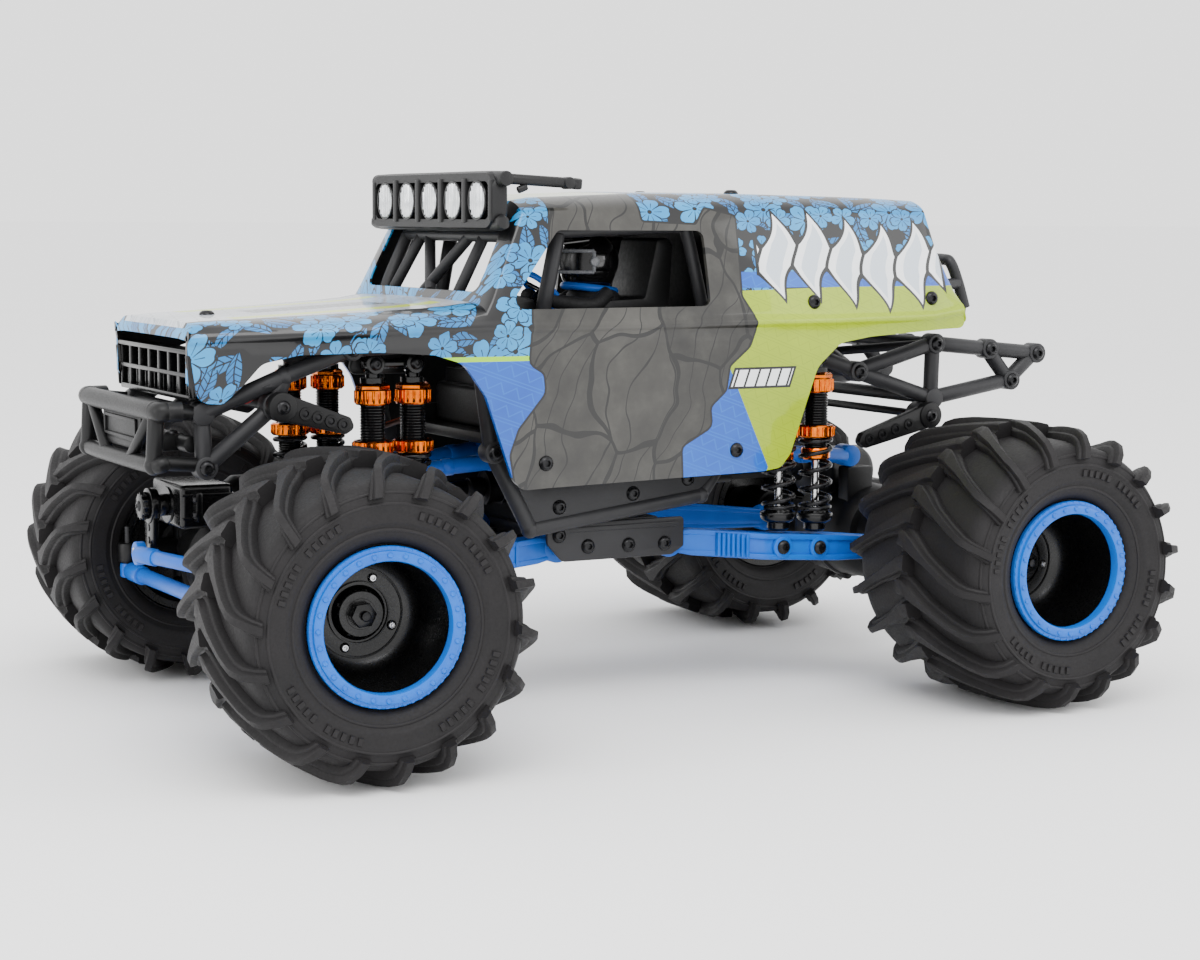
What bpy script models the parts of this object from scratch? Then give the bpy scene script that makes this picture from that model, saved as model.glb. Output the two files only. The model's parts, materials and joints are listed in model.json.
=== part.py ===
"""Small solid-axle monster truck: shell, cage chassis, four-link live axles, shocks, steering and wheels."""

import math

import bmesh
import bpy
import numpy as np
from mathutils import Matrix, Vector

# ---- sizes, mm. +X is the nose, +Y the left side, +Z up, and the ground is z = 0 ----
SHIFT_X = 0.9  # puts the middle of the outline at x = 0
TYRE_R = 36.0
TYRE_W = 51.0
BEAD_R = 18.0
HALF_BASE = 90.5
HALF_TRACK = 69.5
KINGPIN_Y = 51.4
SCRUB = HALF_TRACK - KINGPIN_Y
STEER_REST = math.radians(-5.2)
RING_R = 17.65
LUGS = 16
ARM_Z, ARM_DROP = 40.2, 4.6
FRONT_PIVOT_X, REAR_PIVOT_X = 19.0, -12.0
ARM_END_X = 80.0
UPPER_RISE = 22.0  # the upper link is this much over the lower one and parallel to it
GAP = 0.35

ARM_Y = {1: (23.5, 27.0), -1: (26.4, 35.0)}  # lower arm: at its pivot, at the axle

MM = 0.001
MATERIALS = {}


def clear():
    for obj in list(bpy.data.objects):
        bpy.data.objects.remove(obj, do_unlink=True)
    for mesh in list(bpy.data.meshes):
        bpy.data.meshes.remove(mesh)


def material(name, colour, rough, metal=0.0):
    if name not in MATERIALS:
        mat = bpy.data.materials.new(name)
        mat.use_nodes = True
        bsdf = mat.node_tree.nodes["Principled BSDF"]
        bsdf.inputs["Base Color"].default_value = (*colour, 1)
        bsdf.inputs["Roughness"].default_value = rough
        bsdf.inputs["Metallic"].default_value = metal
        mat.diffuse_color = (*colour, 1)
        MATERIALS[name] = mat
    return MATERIALS[name]


# ---- primitives: each is (points, faces), in mm, closed and facing outward ----
def basis(axis):
    a = np.array(axis, float)
    a /= np.linalg.norm(a)
    side = np.array([0.0, 0, 1]) if abs(a[2]) < 0.9 else np.array([1.0, 0, 0])
    u = np.cross(side, a)
    u /= np.linalg.norm(u)
    return a, u, np.cross(a, u)


def rod(p0, p1, r, n=8, r2=None, turn=0.0):
    p0, p1 = np.array(p0, float), np.array(p1, float)
    a, u, v = basis(p1 - p0)
    pts = []
    for p, rr in ((p0, r), (p1, r if r2 is None else r2)):
        for k in range(n):
            t = turn + 2 * math.pi * k / n
            pts.append(p + rr * (math.cos(t) * u + math.sin(t) * v))
    faces = [[k, (k + 1) % n, n + (k + 1) % n, n + k] for k in range(n)]
    faces.append(list(range(n))[::-1])
    faces.append(list(range(n, 2 * n)))
    return pts, faces


def block(lo, hi):
    x0, y0, z0 = lo
    x1, y1, z1 = hi
    pts = [(x, y, z) for z in (z0, z1) for x, y in ((x0, y0), (x1, y0), (x1, y1), (x0, y1))]
    faces = [[3, 2, 1, 0], [4, 5, 6, 7], [0, 1, 5, 4], [1, 2, 6, 5], [2, 3, 7, 6], [3, 0, 4, 7]]
    return [np.array(p, float) for p in pts], faces


def prism_xz(poly, y0, y1):
    """Outline in (x, z), pushed from y0 to y1."""
    area = sum(a[0] * b[1] - b[0] * a[1] for a, b in zip(poly, poly[1:] + poly[:1]))
    if area > 0:
        poly = poly[::-1]
    n = len(poly)
    pts = [np.array((x, y, z), float) for y in (min(y0, y1), max(y0, y1)) for x, z in poly]
    faces = [[k, (k + 1) % n, n + (k + 1) % n, n + k] for k in range(n)]
    faces.append(list(range(n))[::-1])
    faces.append(list(range(n, 2 * n)))
    return pts, faces


def prism_xy(poly, z0, z1):
    area = sum(a[0] * b[1] - b[0] * a[1] for a, b in zip(poly, poly[1:] + poly[:1]))
    if area < 0:
        poly = poly[::-1]
    n = len(poly)
    pts = [np.array((x, y, z), float) for z in (z0, z1) for x, y in poly]
    faces = [[k, (k + 1) % n, n + (k + 1) % n, n + k] for k in range(n)]
    faces.append(list(range(n))[::-1])
    faces.append(list(range(n, 2 * n)))
    return pts, faces


def ball(p, r, n=8, rows=4):
    pts, faces = [], []
    for i in range(1, rows):
        t = math.pi * i / rows
        for k in range(n):
            a = 2 * math.pi * k / n
            pts.append(np.array(p, float) + r * np.array((math.sin(t) * math.cos(a), math.sin(t) * math.sin(a), math.cos(t))))
    for i in range(rows - 2):
        for k in range(n):
            q, w = i * n + k, i * n + (k + 1) % n
            faces.append([q, q + n, w + n, w])
    top, low = len(pts), len(pts) + 1
    pts += [np.array(p, float) + np.array((0, 0, r)), np.array(p, float) - np.array((0, 0, r))]
    for k in range(n):
        faces.append([top, k, (k + 1) % n])
        q = (rows - 2) * n
        faces.append([low, q + (k + 1) % n, q + k])
    return pts, faces


def ring_of(centre, axis, profile, n, closed, lugs=0, depth=0.0, band=()):
    """A revolved outline of (along, radius). An open outline starts and ends on the axis."""
    c = np.array(centre, float)
    a, u, v = basis(axis)
    inner = profile if closed else profile[1:-1]
    pts, faces = [], []
    for i, (s, r) in enumerate(inner):
        for k in range(n):
            shift, rr = 0.0, r
            if lugs and i in band:
                shift = (abs(s) / (TYRE_W / 2)) * math.pi / lugs
                rr = r - (depth if k % 3 == 0 else 0.0)
            t = 2 * math.pi * k / n + shift
            pts.append(c + a * s + rr * (math.cos(t) * u + math.sin(t) * v))
    m = len(inner)
    for i in range(m if closed else m - 1):
        for k in range(n):
            q, w = i * n + k, i * n + (k + 1) % n
            q2, w2 = ((i + 1) % m) * n + k, ((i + 1) % m) * n + (k + 1) % n
            faces.append([q, w, w2, q2])
    if not closed:
        s0, s1 = len(pts), len(pts) + 1
        pts += [c + a * profile[0][0], c + a * profile[-1][0]]
        for k in range(n):
            faces.append([s0, (k + 1) % n, k])
            q = (m - 1) * n
            faces.append([s1, q + k, q + (k + 1) % n])
    return pts, faces


def helix(p0, p1, radius, wire, turns, steps=8, sides=3):
    p0, p1 = np.array(p0, float), np.array(p1, float)
    a, u, v = basis(p1 - p0)
    length = np.linalg.norm(p1 - p0)
    total = turns * steps
    pts, faces = [], []
    for i in range(total + 1):
        t = 2 * math.pi * i / steps
        out = math.cos(t) * u + math.sin(t) * v
        mid = p0 + a * length * i / total + out * radius
        for k in range(sides):
            b = 2 * math.pi * k / sides
            pts.append(mid + wire * (math.cos(b) * out + math.sin(b) * a))
    for i in range(total):
        for k in range(sides):
            q, w = i * sides + k, i * sides + (k + 1) % sides
            faces.append([q, q + sides, w + sides, w])
    faces.append(list(range(sides)))
    faces.append([total * sides + k for k in range(sides)][::-1])
    return pts, faces


def mesh_of(solid):
    pts, faces = solid
    mesh = bpy.data.meshes.new("m")
    mesh.from_pydata([tuple(float(c) * MM for c in p) for p in pts], [], faces)
    mesh.validate()
    bm = bmesh.new()
    bm.from_mesh(mesh)
    bmesh.ops.recalc_face_normals(bm, faces=bm.faces)
    if bm.calc_volume(signed=True) < 0:
        bmesh.ops.reverse_faces(bm, faces=bm.faces)
    bm.to_mesh(mesh)
    bm.free()
    return mesh


def fuse(name, solids, mat, cuts=(), pivot=None, angle=35):
    """One closed body: the solids joined, then the cuts taken away. pivot puts the object's origin on its joint."""
    obj = bpy.data.objects.new(name, mesh_of(solids[0]))
    bpy.context.scene.collection.objects.link(obj)
    for kind, group in (("UNION", solids[1:]), ("DIFFERENCE", cuts)):
        for solid in group:
            other = bpy.data.objects.new("tool", mesh_of(solid))
            bpy.context.scene.collection.objects.link(other)
            step = obj.modifiers.new("b", "BOOLEAN")
            step.operation = kind
            step.solver = "EXACT"
            step.object = other
            bpy.context.view_layer.update()
            graph = bpy.context.evaluated_depsgraph_get()
            result = bpy.data.meshes.new_from_object(obj.evaluated_get(graph))
            obj.modifiers.clear()
            old = obj.data
            obj.data = result
            bpy.data.meshes.remove(old)
            bpy.data.objects.remove(other, do_unlink=True)
    bm = bmesh.new()
    bm.from_mesh(obj.data)
    bmesh.ops.remove_doubles(bm, verts=bm.verts, dist=0.000001)
    if cuts or len(solids) > 1:
        bmesh.ops.dissolve_limit(bm, angle_limit=math.radians(0.6), verts=bm.verts, edges=bm.edges)
    bm.to_mesh(obj.data)
    bm.free()
    obj.data.materials.clear()
    obj.data.materials.append(mat)
    at = Vector([c * MM for c in (pivot if pivot is not None else (0, 0, 0))])
    obj.data.transform(Matrix.Translation(-at))
    obj.location = at + Vector((SHIFT_X * MM, 0, 0))
    for poly in obj.data.polygons:
        poly.use_smooth = True
    obj.data.set_sharp_from_angle(angle=math.radians(angle))
    return obj


def mirror(solid):
    pts, faces = solid
    return [np.array((p[0], -p[1], p[2])) for p in pts], [f[::-1] for f in faces]


def sided(solids, side):
    return solids if side > 0 else [mirror(s) for s in solids]


clear()
BLACK = material("black_nylon", (0.02, 0.02, 0.022), 0.5)
GREY = material("grey_nylon", (0.12, 0.12, 0.125), 0.55)
RUBBER = material("tyre_rubber", (0.045, 0.045, 0.047), 0.8)
BLUE = material("blue_nylon", (0.04, 0.28, 0.85), 0.4)
RIM = material("rim_black", (0.012, 0.012, 0.013), 0.4)
GOLD = material("amber_alloy", (0.75, 0.32, 0.03), 0.25, 1.0)
STEEL = material("steel_rod", (0.55, 0.55, 0.56), 0.25, 1.0)
SPRING = material("spring_steel", (0.05, 0.05, 0.055), 0.35, 1.0)
SHELL = material("shell_lexan", (0.05, 0.3, 0.7), 0.15)
LAMP = material("lamp_black", (0.03, 0.03, 0.032), 0.4)
CAN = material("servo_case", (0.03, 0.03, 0.033), 0.45)
SUIT = material("driver_black", (0.02, 0.02, 0.02), 0.5)

# ---- wheels ----
TYRE_PROFILE = [
    (-0.42 * TYRE_W, BEAD_R), (-0.495 * TYRE_W, 0.70 * TYRE_R),
    (-0.49 * TYRE_W, 0.82 * TYRE_R), (-0.45 * TYRE_W, 0.905 * TYRE_R), (-0.36 * TYRE_W, 0.965 * TYRE_R), (0, TYRE_R),
    (0.36 * TYRE_W, 0.965 * TYRE_R), (0.45 * TYRE_W, 0.905 * TYRE_R), (0.49 * TYRE_W, 0.82 * TYRE_R),
    (0.495 * TYRE_W, 0.70 * TYRE_R), (0.42 * TYRE_W, BEAD_R),
]
RIM_PROFILE = [
    (-21.0, 0), (-21.0, 17.6), (21.3, 17.6), (21.3, 14.6), (2.0, 12.6), (2.0, 5.5), (4.0, 4.4), (4.0, 0),
]
RIM_BACK = [(-22.0, 0), (-22.0, 14.8), (-4.5, 12.6), (-4.5, 0)]
RING_PROFILE = [(21.65, 14.5), (21.65, RING_R), (23.4, RING_R), (24.2, 16.9), (24.0, 14.5)]

WHEELS = {}
for tag, sx, sy in (("fl", 1, 1), ("fr", 1, -1), ("rl", -1, 1), ("rr", -1, -1)):
    steer = STEER_REST if sx > 0 else 0.0
    out = np.array((-math.sin(steer), math.cos(steer), 0.0)) * sy
    if sx > 0:
        centre = np.array((HALF_BASE, KINGPIN_Y * sy, TYRE_R)) + out * SCRUB
    else:
        centre = np.array((-HALF_BASE, HALF_TRACK * sy, TYRE_R))
    WHEELS[tag] = (centre, out)
    fuse("tyre_" + tag, [ring_of(centre, out, TYRE_PROFILE, LUGS * 3, True, LUGS, 1.5, (3, 4, 5, 6, 7))], RUBBER, pivot=centre)
    fuse("rim_" + tag, [ring_of(centre, out, RIM_PROFILE, 24, False)], RIM,
         cuts=[ring_of(centre, out, RIM_BACK, 24, False)], pivot=centre)
    fuse("ring_" + tag, [ring_of(centre, out, RING_PROFILE, 28, True)], BLUE, pivot=centre)

# ---- steering knuckles: carrier inside the rim, kingpin boss and steering arm ----
for tag, sy in (("l", 1), ("r", -1)):
    centre, out = WHEELS["f" + tag]
    kp = np.array((HALF_BASE, KINGPIN_Y * sy, TYRE_R))
    turn = STEER_REST
    fwd = np.array((math.cos(turn), math.sin(turn), 0))
    left = np.array((-math.sin(turn), math.cos(turn), 0))
    arm_end = kp + fwd * 17.5 - out * 9.8
    fuse("knuckle_" + tag, [
        rod(kp + out * 1.5, kp + out * 12.8, 6.2, 12),
        rod(kp - (0, 0, 8.4), kp + (0, 0, 8.4), 3.6, 10),
        rod(kp - (0, 0, 0.5) + fwd * 1.0, arm_end - (0, 0, 0.4), 2.3, 6),
        rod(arm_end - (0, 0, 2.2), arm_end + (0, 0, 2.2), 2.6, 8),
    ], BLACK, pivot=kp)

# ---- axle housings: gear case, tubes, input housing, link brackets ----
def axle(name, end):
    x = HALF_BASE * end
    inner = 43.4 if end > 0 else 46.0
    parts = [
        rod((x, -15, TYRE_R), (x, 11, TYRE_R), 13.5, 14),
        rod((x, -inner, TYRE_R), (x, inner, TYRE_R), 5.2, 10),
        rod((x - 15 * end, -6, 52.5), (x + 5 * end, -6, 52.5), 7.0, 12),
        block((x - 7, -14, 38), (x + 7, 2, 50)),
    ]
    arm_y = ARM_Y[end][1]
    for sy in (1, -1):
        parts.append(block((min(x - 8.2 * end, x + 2 * end), min(sy * (arm_y - 7.2), sy * (arm_y - 3.8)), 31.5),
                           (max(x - 8.2 * end, x + 2 * end), max(sy * (arm_y - 7.2), sy * (arm_y - 3.8)), 40)))
        parts.append(rod((x - 10.8 * end, sy * (arm_y - 5.5), ARM_Z - ARM_DROP), (x - 6.5 * end, sy * (arm_y - 5.5), 35.7), 1.5, 6))
    # the bridge over the case takes the upper link
    parts.append(block((min(x - 9.5 * end, x - 1 * end), 3.0, 44), (max(x - 9.5 * end, x - 1 * end), 8.0, 54.5)))
    if end > 0:
        for sy in (1, -1):
            # kingpin yokes above and below each knuckle
            parts.append(block((x - 3.2, 43.0 if sy > 0 else -44.5, 26.3), (x + 3.2, 44.5 if sy > 0 else -43.0, 45.7)))
            for z0, z1 in ((44.9, 47.6), (24.4, 27.1)):
                parts.append(rod((x, sy * KINGPIN_Y, z0), (x, sy * KINGPIN_Y, z1), 3.6, 10))
                parts.append(block((x - 3.3, min(sy * 43.2, sy * KINGPIN_Y), z0 + 0.05), (x + 3.3, max(sy * 43.2, sy * KINGPIN_Y), z1 - 0.05)))
    else:
        for sy in (1, -1):
            parts.append(rod((x, sy * 44.5, TYRE_R), (x, sy * 62.5, TYRE_R), 6.4, 12))
    return fuse(name, parts, BLACK, pivot=(x, 0, TYRE_R))


axle("axle_front", 1)
axle("axle_rear", -1)

# ---- lower arms, upper links ----
def arm_line(end):
    px = FRONT_PIVOT_X if end > 0 else REAR_PIVOT_X
    return np.array((px, 0, ARM_Z)), np.array((ARM_END_X * end, 0, ARM_Z - ARM_DROP))


SHOCK_X = {1: (59.5, 70.0), -1: (-40.5, -51.8)}
SHOCK_Y = {1: 27.5, -1: 35.5}
SHOCK_TOP = 88.0
for end, word in ((1, "f"), (-1, "r")):
    p0, p1 = arm_line(end)
    yc, ye = ARM_Y[end]
    along = (p1 - p0) / np.linalg.norm(p1 - p0)
    ys = SHOCK_Y[end]
    for sy, tag in ((1, "l"), (-1, "r")):
        x0, x1 = p0[0], p1[0]

        def zline(x):
            return ARM_Z - ARM_DROP * (x - x0) / (x1 - x0)
        s_near = min(abs(v) for v in SHOCK_X[end]) - 5.5
        s_far = max(abs(v) for v in SHOCK_X[end]) + 6.0
        # plan outline of the arm: narrow at the pivot, wide where the shocks stand
        plan = [(x0, yc - 2.6), (x0, yc + 2.6), (x0 + 5.5 * end, yc + 2.7), (s_near * end, ys + 2.6), (s_far * end, ys + 2.9), (x1, ye + 1.6),
                (x1, ye - 2.9), (s_far * end, ys - 4.6), (s_near * end, ys - 4.6), (x0 + 5.5 * end, yc - 2.7)]
        height = 3.4
        pts, faces = prism_xy(plan, -height, height)
        pts = [np.array((p[0], p[1], zline(p[0]) + p[2] * (0.72 if abs(p[0] - x0) < 1 or abs(p[0] - x1) < 1 else 1.0))) for p in pts]
        solids = sided([
            (pts, faces),
            rod((x0, yc - 2.6, ARM_Z), (x0, yc + 2.6, ARM_Z), 3.9, 10),
            rod((x1, ye - 2.9, zline(x1)), (x1, ye + 1.6, zline(x1)), 3.6, 10),
        ], sy)
        fuse("lower_arm_" + word + tag, solids, BLUE, pivot=(x0, 0, ARM_Z))

# one V-shaped upper link per axle, parallel to the lower arms seen from the side
for end, word in ((1, "front"), (-1, "rear")):
    p0, p1 = arm_line(end)
    q0 = np.array((p0[0] + 2 * end, 0, ARM_Z + UPPER_RISE))
    q1 = q0 + (p1 - p0)
    q0z, q1z = q0[2], q1[2]
    solids = [
        rod((q0[0], 15.0, q0z), (q1[0] - 1.5 * end, 7.0, q1z), 2.0, 8),
        rod((q0[0], -15.0, q0z), (q1[0] - 1.5 * end, 6.0, q1z), 2.0, 8),
        rod((q1[0], 2.6, q1z), (q1[0], 8.4, q1z), 3.0, 10),
        rod((q0[0], 12.4, q0z), (q0[0], 17.6, q0z), 2.8, 10),
        rod((q0[0], -17.6, q0z), (q0[0], -12.4, q0z), 2.8, 10),
    ]
    fuse("upper_link_" + word, solids, BLUE, pivot=(q0[0], 0, q0z))

# ---- shocks: two at each corner; bodies share a top pin, each shaft and spring is its own piece ----
ARM_TOP = {}
for end, word in ((1, "f"), (-1, "r")):
    p0, p1 = arm_line(end)
    for sy, tag in ((1, "l"), (-1, "r")):
        y = SHOCK_Y[end] * sy
        xs = SHOCK_X[end]
        solids = []
        for x in xs:
            solids += [
                rod((x, y, 60.6), (x, y, 84.4), 3.1, 8),
                rod((x, y, 78.4), (x, y, 83.6), 4.4, 8, turn=0.2),
                rod((x, y, 66.4), (x, y, 69.4), 4.9, 8, turn=0.2),
                rod((x, y, 83.0), (x, y, 90.2), 2.1, 6, turn=0.3),
            ]
        solids.append(rod((min(xs) - 1.0, y, SHOCK_TOP), (max(xs) + 1.0, y, SHOCK_TOP), 1.3, 6, turn=0.4))
        fuse("shock_body_" + word + tag, solids, GOLD, cuts=[
            rod((x, y, 58.0), (x, y, 71.2), 1.6, 8) for x in xs], pivot=(xs[0], y, SHOCK_TOP))
        for k, x in enumerate(xs):
            zarm = ARM_Z - ARM_DROP * (x - p0[0]) / (p1[0] - p0[0])
            low = zarm + 3.4 + 0.9
            fuse(f"shock_shaft_{word}{tag}{k + 1}", [
                rod((x, y, low + 3.0), (x, y, 61.6), 1.0, 8),
                rod((x, y, low + 2.8), (x, y, low + 4.6), 4.7, 12),
                rod((x, y, low), (x, y, low + 3.4), 2.9, 8),
            ], STEEL, pivot=(x, y, low))
            fuse(f"spring_{word}{tag}{k + 1}", [
                helix((x, y, low + 5.5), (x, y, 65.5), 3.95, 0.6, 5, steps=7)], SPRING, pivot=(x, y, low + 5.4))

# ---- steering links and servo ----
ends = {}
for tag, sy in (("l", 1), ("r", -1)):
    centre, out = WHEELS["f" + tag]
    kp = np.array((HALF_BASE, KINGPIN_Y * sy, TYRE_R))
    fwd = np.array((math.cos(STEER_REST), math.sin(STEER_REST), 0))
    ends[tag] = kp + fwd * 17.5 - out * 9.8
lift = np.array((0, 0, -4.7))
lp, rp = ends["l"] + lift, ends["r"] + lift
fuse("tie_rod", [
    rod(lp + (0, -1.0, 0), rp + (0, 1.0, 0), 1.9, 8),
    rod(lp - (0, 0, 1.9), lp + (0, 0, 1.9), 2.7, 10),
    rod(rp - (0, 0, 1.9), rp + (0, 0, 1.9), 2.7, 10),
], BLUE)
HORN = np.array((114.6, -2.0, 53.0))
REACH = 11.5
knee = ends["l"] + np.array((0, 0, 4.7))
eye = HORN + np.array((3.0, 0, -REACH))
fuse("drag_link", [
    rod(eye, eye + (2.4, 0, 0), 2.8, 10),
    rod(eye + (2.0, 0.8, 0), knee, 1.7, 8),
    rod(knee - (0, 0, 1.8), knee + (0, 0, 1.8), 2.6, 10),
], BLUE)
fuse("servo_horn", [
    rod(HORN, HORN + (2.2, 0, 0), 4.4, 12),
    rod(HORN + (2.1, 0, 0), HORN + (4.4, 0, 0), 3.1, 6),
    prism_xz([(HORN[0] + 0.2, 53.1), (HORN[0] + 1.8, 53.1), (HORN[0] + 1.8, 41.5), (HORN[0] + 0.2, 41.5)], -4.0, 0.0),
    rod(HORN + (0.1, 0, -REACH), HORN + (1.9, 0, -REACH), 2.4, 8),
], BLACK, pivot=HORN)
fuse("steering_servo", [
    block((98.5, -14.0, 48.0), (111.6, 8.5, 58.6)),
    block((107.0, -16.6, 50.0), (108.6, 11.0, 57.0)),
    rod((111.4, -2.0, 53.0), (114.2, -2.0, 53.0), 2.7, 10),
], CAN)

# ---- cage frames ----
def cage(side):
    yf, ym, yr = 25.0, 33.0, 30.0
    p = {
        "A": (112.0, yf, 77.2), "B": (111.4, yf, 64.6), "S": (95.4, yf + 3.4, 78.8), "D": (93.8, ym - 2, 85.8),
        "F": (78.0, ym, 92.0), "G": (45.0, ym, 93.5), "M": (-20.0, ym, 94.0), "N": (-52.0, 27.0, 89.0),
        "n1": (-67.8, yr, 82.8), "n2": (-92.8, yr, 89.7), "n3": (-111.0, yr, 87.9), "n4": (-127.9, yr, 86.4),
        "n5": (-118.5, yr, 79.2), "n6": (-92.4, yr, 74.9), "K": (41.0, ym, 66.0), "L": (30.5, ym, 46.4),
        "P": (-18.3, ym, 52.6), "Q": (-31.0, 28.4, 66.0), "R": (-89.3, yr - 0.4, 70.6),
    }
    links = ["AB", "BS", "AD", "SD", "DF", "FG", "GM", "MN", ("N", "n1"), ("n1", "n2"), ("n2", "n3"), ("n3", "n4"),
             ("n4", "n5"), ("n5", "n6"), ("n6", "n1"), ("n3", "n5"), ("n2", "n6"), "GK", "KL", "LP", "PQ", "QN", ("n6", "R")]
    solids = []
    for k, link in enumerate(links):
        a, b = np.array(p[link[0]]), np.array(p[link[1]])
        v = (b - a) / np.linalg.norm(b - a)
        solids.append(rod(a - v * (0.5 + 0.05 * k), b + v * (0.55 + 0.04 * k), 2.0 + 0.004 * k, 4, turn=0.37 * k))
    solids.append(prism_xz([(40.0, 64), (31.3, 47.6), (-17.0, 53.6), (-24, 60.5)], ym - 1.21, ym + 1.13))
    for key, y0, y1 in (("S", 26.3, 31.2), ("R", 27.4, 31.4)):
        solids.append(rod((p[key][0], y0, p[key][2]), (p[key][0], y1, p[key][2]), 3.3, 6, turn=0.1))
    for k, key in enumerate(("n4",)):
        solids.append(ball(p[key], 2.45 + 0.03 * k, 6, 4))
    holes = [rod((p[key][0], 20, p[key][2]), (p[key][0], 36, p[key][2]), 1.5, 8) for key in "SR"]
    return sided(solids, side), sided(holes, side)


bars, holes = cage(1)
left = fuse("cage_left", bars, GREY, cuts=holes, angle=40)
right = bpy.data.objects.new("cage_right", left.data.copy())
right.data.transform(Matrix.Scale(-1, 4, (0, 1, 0)))
right.data.flip_normals()
right.location = left.location
bpy.context.scene.collection.objects.link(right)

# ---- chassis centre: skid, pillars, cross members, shock towers, bumper block ----
skid = [(26.0, -20.0), (26.0, 20.0), (20.0, 20.6), (-14.0, 20.6), (-20.0, 20.0), (-20.0, -20.0), (-14.0, -20.6), (20.0, -20.6)]
centre_parts = [
    prism_xy(skid, 36.6, 39.4),
    block((-9.0, -20.3, 39.0), (16.0, 20.3, 43.0)),
    block((-8.0, -30.0, 41.0), (14.5, 30.0, 47.3)),
]
for sy in (1, -1):
    lo, hi = sorted((sy * 29.4, sy * 30.7))
    centre_parts.append(block((-15, lo, 37.2), (24.5, hi, 46.9)))
    for x, y0 in ((FRONT_PIVOT_X, 20.3), (REAR_PIVOT_X, 23.2)):
        # pivot pins: each stops just short of its arm's boss
        centre_parts.append(rod((x, sy * 17.0, 40.0), (x, sy * y0, 40.0), 1.6, 8))
        centre_parts.append(rod((x, sy * (26.5 if x > 0 else 29.34), 40.3), (x, sy * 30.0, 40.3), 1.6, 8))
fuse("skid_plate", centre_parts, GREY)

# ---- front bumper: mounting block, frame and braces ----
bump = [
    rod((123.2, -28.6, 78.2), (123.2, 28.6, 78.2), 2.3, 8),
    rod((124.0, -26.0, 65.6), (124.0, 26.0, 65.6), 1.9, 8),
    rod((123.2, 26.3, 78.2), (124.2, 26.3, 65.6), 1.9, 8),
    rod((123.2, -26.3, 78.2), (124.2, -26.3, 65.6), 1.9, 8),
    rod((123.3, 24.0, 77.5), (124.2, 9.0, 65.6), 1.5, 6),
    rod((123.3, -24.0, 77.5), (124.2, -9.0, 65.6), 1.5, 6),
    block((112.6, -16.0, 67.8), (121.9, 16.0, 71.8)),
    block((120.6, -15.0, 67.9), (124.2, 15.0, 78.6)),
    rod((113.4, -22.4, 69.8), (113.4, 22.4, 69.8), 2.0, 8),
]
fuse("front_bumper", bump, BLACK)

# ---- drive: gearbox with its motor, and the two telescopic driveshafts ----
fuse("gearbox", [
    block((-8.5, -15.0, 47.9), (15.5, 9.0, 63.0)),
    rod((3.0, 8.0, 57.2), (3.0, 29.0, 57.2), 8.8, 14),
    rod((-19.5, -6, 52.5), (24.5, -6, 52.5), 4.0, 10),
], CAN)
for end, word, x0 in ((1, "front", 24.5), (-1, "rear", -19.5)):
    xa = x0 + end * 0.5
    xb = end * (HALF_BASE - 16.6)
    fuse("driveshaft_" + word, [
        rod((xa, -6, 52.5), (xa + end * 4, -6, 52.5), 3.0, 8),
        rod((xa, -6, 52.5), (xb, -6, 52.5), 1.6, 8),
        rod((xb - end * 4, -6, 52.5), (xb, -6, 52.5), 3.0, 8),
    ], BLACK, pivot=(xa, -6, 52.5))

# ---- sway bars ----
for word, bx, bz, ex, ez, y in (("front", 95.4, 78.8, 79.4, 74.0, 33.2), ("rear", -89.3, 70.6, -68.2, 64.6, 33.4)):
    solids = [rod((bx, -y + 1, bz), (bx, y - 1, bz), 1.1, 8)]
    for sy in (1, -1):
        lo, hi = sorted((sy * (y - 1.5), sy * (y + 1.5)))
        v = np.array((ex - bx, 0, ez - bz)) / math.hypot(ex - bx, ez - bz)
        n = np.array((-v[2], 0, v[0]))
        a, b = np.array((bx, 0, bz)), np.array((ex, 0, ez))
        quad = [a - n * 2.6, a + n * 2.6, b + n * 1.9, b - n * 1.9]
        solids.append(prism_xz([(q[0], q[2]) for q in quad], lo, hi))
        solids.append(rod((bx, lo - 0.05, bz), (bx, hi + 0.05, bz), 3.7, 12))
        solids.append(rod((ex, lo - 0.02, ez), (ex, hi + 0.02, ez), 2.6, 10))
    fuse("sway_bar_" + word, solids, BLACK, pivot=(bx, 0, bz))

# ---- body shell: one thin moulding over the cage, with window openings and wheel arches ----
T = 1.2
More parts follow.
